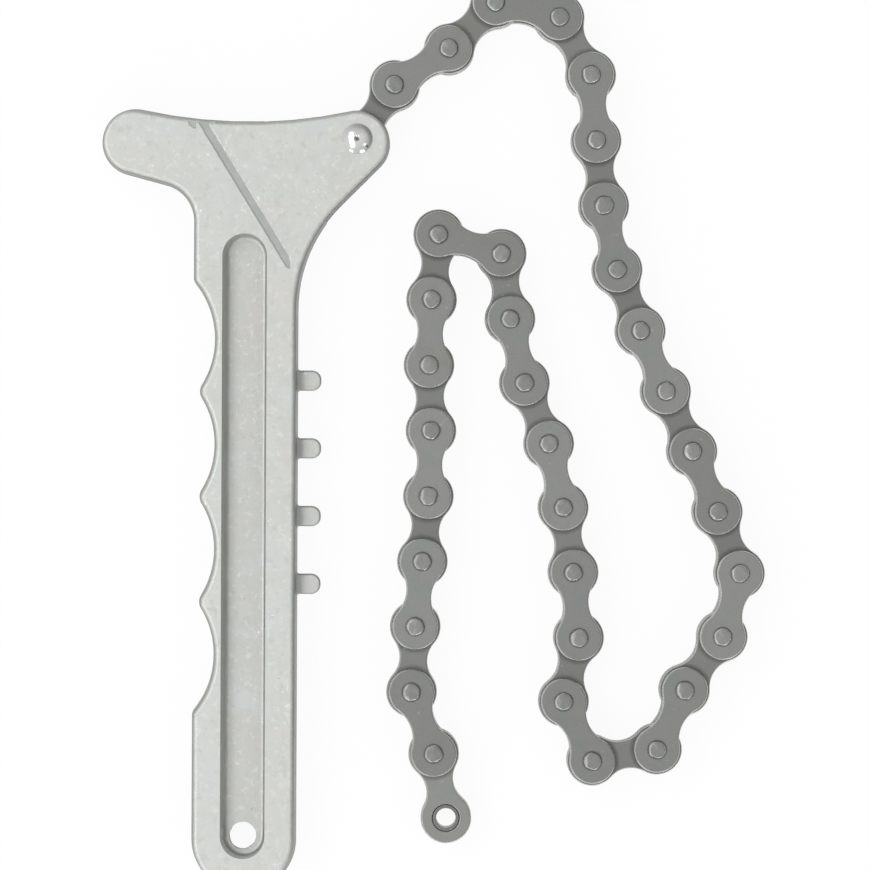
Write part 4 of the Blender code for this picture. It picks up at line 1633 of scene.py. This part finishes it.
@dataclass
class LinkKit:
    """The loose parts of a link and their finishes, from which each link of the chain is put together."""

    sizes: ChainSizes
    tree: LinkTree
    inner_plate: bpy.types.Mesh
    outer_plate: bpy.types.Mesh
    bush: bpy.types.Mesh
    roller: bpy.types.Mesh
    pin: bpy.types.Mesh
    inner: bpy.types.Material
    end: bpy.types.Material
    outer: bpy.types.Material
    pins: bpy.types.Material
    rollers: bpy.types.Material
    peening: float = 0.5

    def lay(self, number: int, place: Place) -> dict[str, object]:
        """The link tree's inputs for a link of this number at this x, y and heading."""
        hinge = (*place[:2], self.sizes.level)
        return {"Heading": place[2], "Hinge": hinge, "Seed": number, "Pitch": self.sizes.pitch}

    def pair(
        self, mesh: bpy.types.Mesh, level: float, finish: bpy.types.Material, lay: dict[str, object]
    ) -> bpy.types.Mesh:
        """A plate above and its twin below."""
        return self.tree.made(mesh.name, mesh, Level=level, Both_Sides=True, Finish=finish, **lay)

    def row(
        self, mesh: bpy.types.Mesh, finish: bpy.types.Material, lay: dict[str, object], **extra: object
    ) -> bpy.types.Mesh:
        """A turned part at both ends of the link, each turned its own way."""
        return self.tree.made(mesh.name, mesh, **{"Copies": 2, "Spin": 1.0, "Finish": finish, **lay, **extra})

    def roller_link(self, number: int, place: Place) -> list[bpy.types.Object]:
        """Makes a roller link: two inner plates and two bushes, and two rollers.

        Args:
            number: the link's number.
            place: its hinge's x and y and its heading.

        Returns:
            Its pieces.
        """
        lay, tag = self.lay(number, place), f"{number:02d}"
        body, node = f"link_{tag}", [f"roller_link_{tag}"]
        plates = self.pair(self.inner_plate, self.sizes.inner_level, self.inner, lay)
        mesh = merged(f"inner_plates_{tag}", [plates, self.row(self.bush, self.inner, lay)])
        made = [piece(f"inner_plates_{tag}", mesh, body, node)]
        mesh = self.row(self.roller, self.rollers, lay)
        return [*made, piece(f"rollers_{tag}", mesh, body, node)]

    def pin_link(self, number: int, place: Place) -> list[bpy.types.Object]:
        """Makes a pin link: two outer plates, and two riveted pins.

        Args:
            number: the link's number.
            place: its hinge's x and y and its heading.

        Returns:
            Its pieces.
        """
        lay, tag = self.lay(number, place), f"{number:02d}"
        body, nodes = f"link_{tag}", [f"pin_link_{tag}", f"cover_plate_{tag}"]
        plates = self.pair(self.outer_plate, self.sizes.outer_level, self.outer, lay)
        pins = self.row(self.pin, self.pins, lay, Peening=self.peening, Peened_From=self.sizes.outer_level)
        return [
            piece(f"outer_plates_{tag}", plates, body, nodes),
            piece(f"pins_{tag}", pins, body, nodes[:1]),
        ]

    def free_end(self, number: int, place: Place) -> list[bpy.types.Object]:
        """Makes the free end: plates, bushes, and two rollers that turn by themselves.

        Args:
            number: the link's number.
            place: its hinge's x and y and its heading.

        Returns:
            Its pieces.
        """
        lay, body = self.lay(number, place), f"link_{number:02d}"
        plates = self.pair(self.inner_plate, self.sizes.inner_level, self.end, lay)
        bushes = self.row(self.bush, self.end, lay)
        slot, nodes = "inner_plate_steel", ["end_plate_lower", "end_plate_upper"]
        made = [
            piece("free_end_plates", plates, body, nodes),
            piece("free_end_bushes", bushes, body, ["end_bush_1", "end_bush_2"]),
        ]
        x, y, heading = place
        for end, along in enumerate((0.0, self.sizes.pitch), start=1):
            hinge = (x + along * math.cos(heading), y + along * math.sin(heading), self.sizes.level)
            mesh = self.row(self.roller, self.rollers, lay, Copies=1, Hinge=hinge)
            name = f"end_roller_{end}"
            made.append(piece(f"free_roller_{end}", mesh, f"{name}_body", [name]))
        return made


def merged(name: str, meshes: Sequence[bpy.types.Mesh]) -> bpy.types.Mesh:
    """One mesh of several that share a finish.

    Args:
        name: the new mesh's name.
        meshes: the meshes, which are used up.

    Returns:
        The joined mesh.
    """
    with_all = [stand(mesh.name, mesh) for mesh in meshes]
    with bpy.context.temp_override(active_object=with_all[0], selected_editable_objects=with_all):
        bpy.ops.object.join()
    mesh = with_all[0].data
    bpy.data.objects.remove(with_all[0], do_unlink=True)
    mesh.name = name
    return mesh


# The studio


@dataclass(frozen=True)
class Softbox:
    """A softbox that faces the wrench: where it stands as seen from there, and its size in metres."""

    name: str
    azimuth: float
    elevation: float
    size: Point
    radiance: float
    distance: float = 1.3

    def stand_up(self, target: Sequence[float]) -> None:
        """Puts the softbox in the scene, aimed at a point.

        Args:
            target: the point.
        """
        data = bpy.data.lights.new(self.name, "AREA")
        data.shape = "RECTANGLE"
        data.size, data.size_y = self.size
        data.energy = 4 * self.radiance * self.size[0] * self.size[1]
        light = stand(self.name, data)
        turn, rise = math.radians(self.azimuth), math.radians(self.elevation)
        away = Vector((math.cos(turn) * math.cos(rise), math.sin(turn) * math.cos(rise), math.sin(rise)))
        light.location = Vector(target) + away * self.distance
        light.rotation_euler = away.to_track_quat("Z", "Y").to_euler()


@dataclass
class Studio:
    """A white floor, a soft sky that is lighter on the left than on the right, and a camera above."""

    camera_place: Place = (0.0368, -0.05655, 1.1108)
    camera_turn: float = 0.257
    sensor_width: float = 36.0
    view_width: float = 0.1682
    view_level: float = 0.0108
    zenith: float = 0.9
    horizon: float = 0.6
    left_share: float = 0.3
    near_share: float = 0.14
    floor_colour: Colour = (0.97, 0.97, 0.97)
    floor_glow: float = 0.93
    floor_half: float = 4.0
    floor_level: float = -2e-5
    target: Place = (0.0368, -0.05655, 0.0)
    softboxes: tuple[Softbox, ...] = (
        Softbox("left_strip", -175.0, 60.0, (1.8, 0.46), 1.6),
        Softbox("near_right_softbox", -68.0, 20.0, (0.4, 0.45), 2.2),
        Softbox("near_left_softbox", -120.0, 19.0, (0.32, 0.36), 1.9),
        Softbox("right_bulb", -35.0, 47.0, (0.18, 0.18), 2.2),
    )

    def camera(self) -> None:
        """Puts the camera where the photograph was taken from."""
        data = bpy.data.cameras.new("camera")
        data.sensor_width = self.sensor_width
        data.lens = self.sensor_width * (self.camera_place[2] - self.view_level) / self.view_width
        data.clip_start, data.clip_end = 0.01, 20.0
        camera = stand("camera", data)
        camera.location = self.camera_place
        camera.rotation_euler = (0.0, 0.0, math.radians(self.camera_turn))
        bpy.context.scene.camera = camera

    def sky(self) -> None:
        """Lights the scene with a soft dome."""
        world = bpy.data.worlds.new("soft_dome")
        bpy.context.scene.world = world
        world.use_nodes = True
        bench = Bench(world.node_tree)
        background = bench.nodes["Background"]
        split = bench.nodes.new("ShaderNodeSeparateXYZ")
        bench.links.new(bench.nodes.new("ShaderNodeTexCoord").outputs["Generated"], split.inputs[0])
        side = bench.sum("MULTIPLY_ADD", split.outputs["X"], -self.left_share, self.horizon)
        side = bench.sum("MULTIPLY_ADD", split.outputs["Y"], -self.near_share, side)
        strength = bench.between(split.outputs["Z"], 0.35, 1.0, (side, self.zenith))
        bench.links.new(strength, background.inputs["Strength"])
        background.inputs["Color"].default_value = (1.0, 1.0, 1.0, 1.0)

    def floor(self) -> None:
        """Lays the floor: pale, shaded by the wrench, and white where the camera or a reflection sees it."""
        half, level = self.floor_half, self.floor_level
        rim = [(-half, -half, level), (half, -half, level), (half, half, level), (-half, half, level)]
        floor = stand("floor", mesh_from("floor", rim, [(0, 1, 2, 3)]))
        material = bpy.data.materials.new("pale_floor")
        material.use_nodes = True
        bench = Bench(material.node_tree)
        shader = bench.nodes["Principled BSDF"]
        shader.inputs["Base Color"].default_value = (*self.floor_colour, 1.0)
        shader.inputs["Roughness"].default_value = 0.9
        shader.inputs["Specular IOR Level"].default_value = 0.0
        rays = bench.nodes.new("ShaderNodeLightPath").outputs
        seen = bench.sum("ADD", rays["Is Camera Ray"], rays["Is Glossy Ray"])
        seen = bench.sum("MINIMUM", bench.sum("ADD", seen, rays["Is Transmission Ray"]), 1.0)
        mixed = bench.nodes.new("ShaderNodeMixShader")
        bench.feed(mixed.inputs["Fac"], bench.sum("MULTIPLY", seen, self.floor_glow))
        bench.links.new(shader.outputs["BSDF"], mixed.inputs[1])
        glow = bench.nodes.new("ShaderNodeEmission")
        bench.links.new(glow.outputs["Emission"], mixed.inputs[2])
        bench.links.new(mixed.outputs["Shader"], bench.nodes["Material Output"].inputs["Surface"])
        floor.data.materials.append(material)

    def build(self) -> None:
        """Sets the studio up."""
        self.camera()
        self.sky()
        for softbox in self.softboxes:
            softbox.stand_up(self.target)
        self.floor()
        bpy.context.scene.view_settings.view_transform = "Standard"


def corners(box: tuple[Vector, Vector]) -> list[list[float]]:
    """A box's two corners as plain lists."""
    return [list(map(float, corner)) for corner in box]


def main() -> None:
    """Builds the dressed wrench in its studio."""
    logging.basicConfig(level=logging.INFO, format="%(name)s: %(message)s")
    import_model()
    for part in (Studio(), CastHandle(), ClevisRivet(), RollerChain()):
        part.build()
    bpy.context.view_layer.update()


if __name__ == "__main__":
    main()
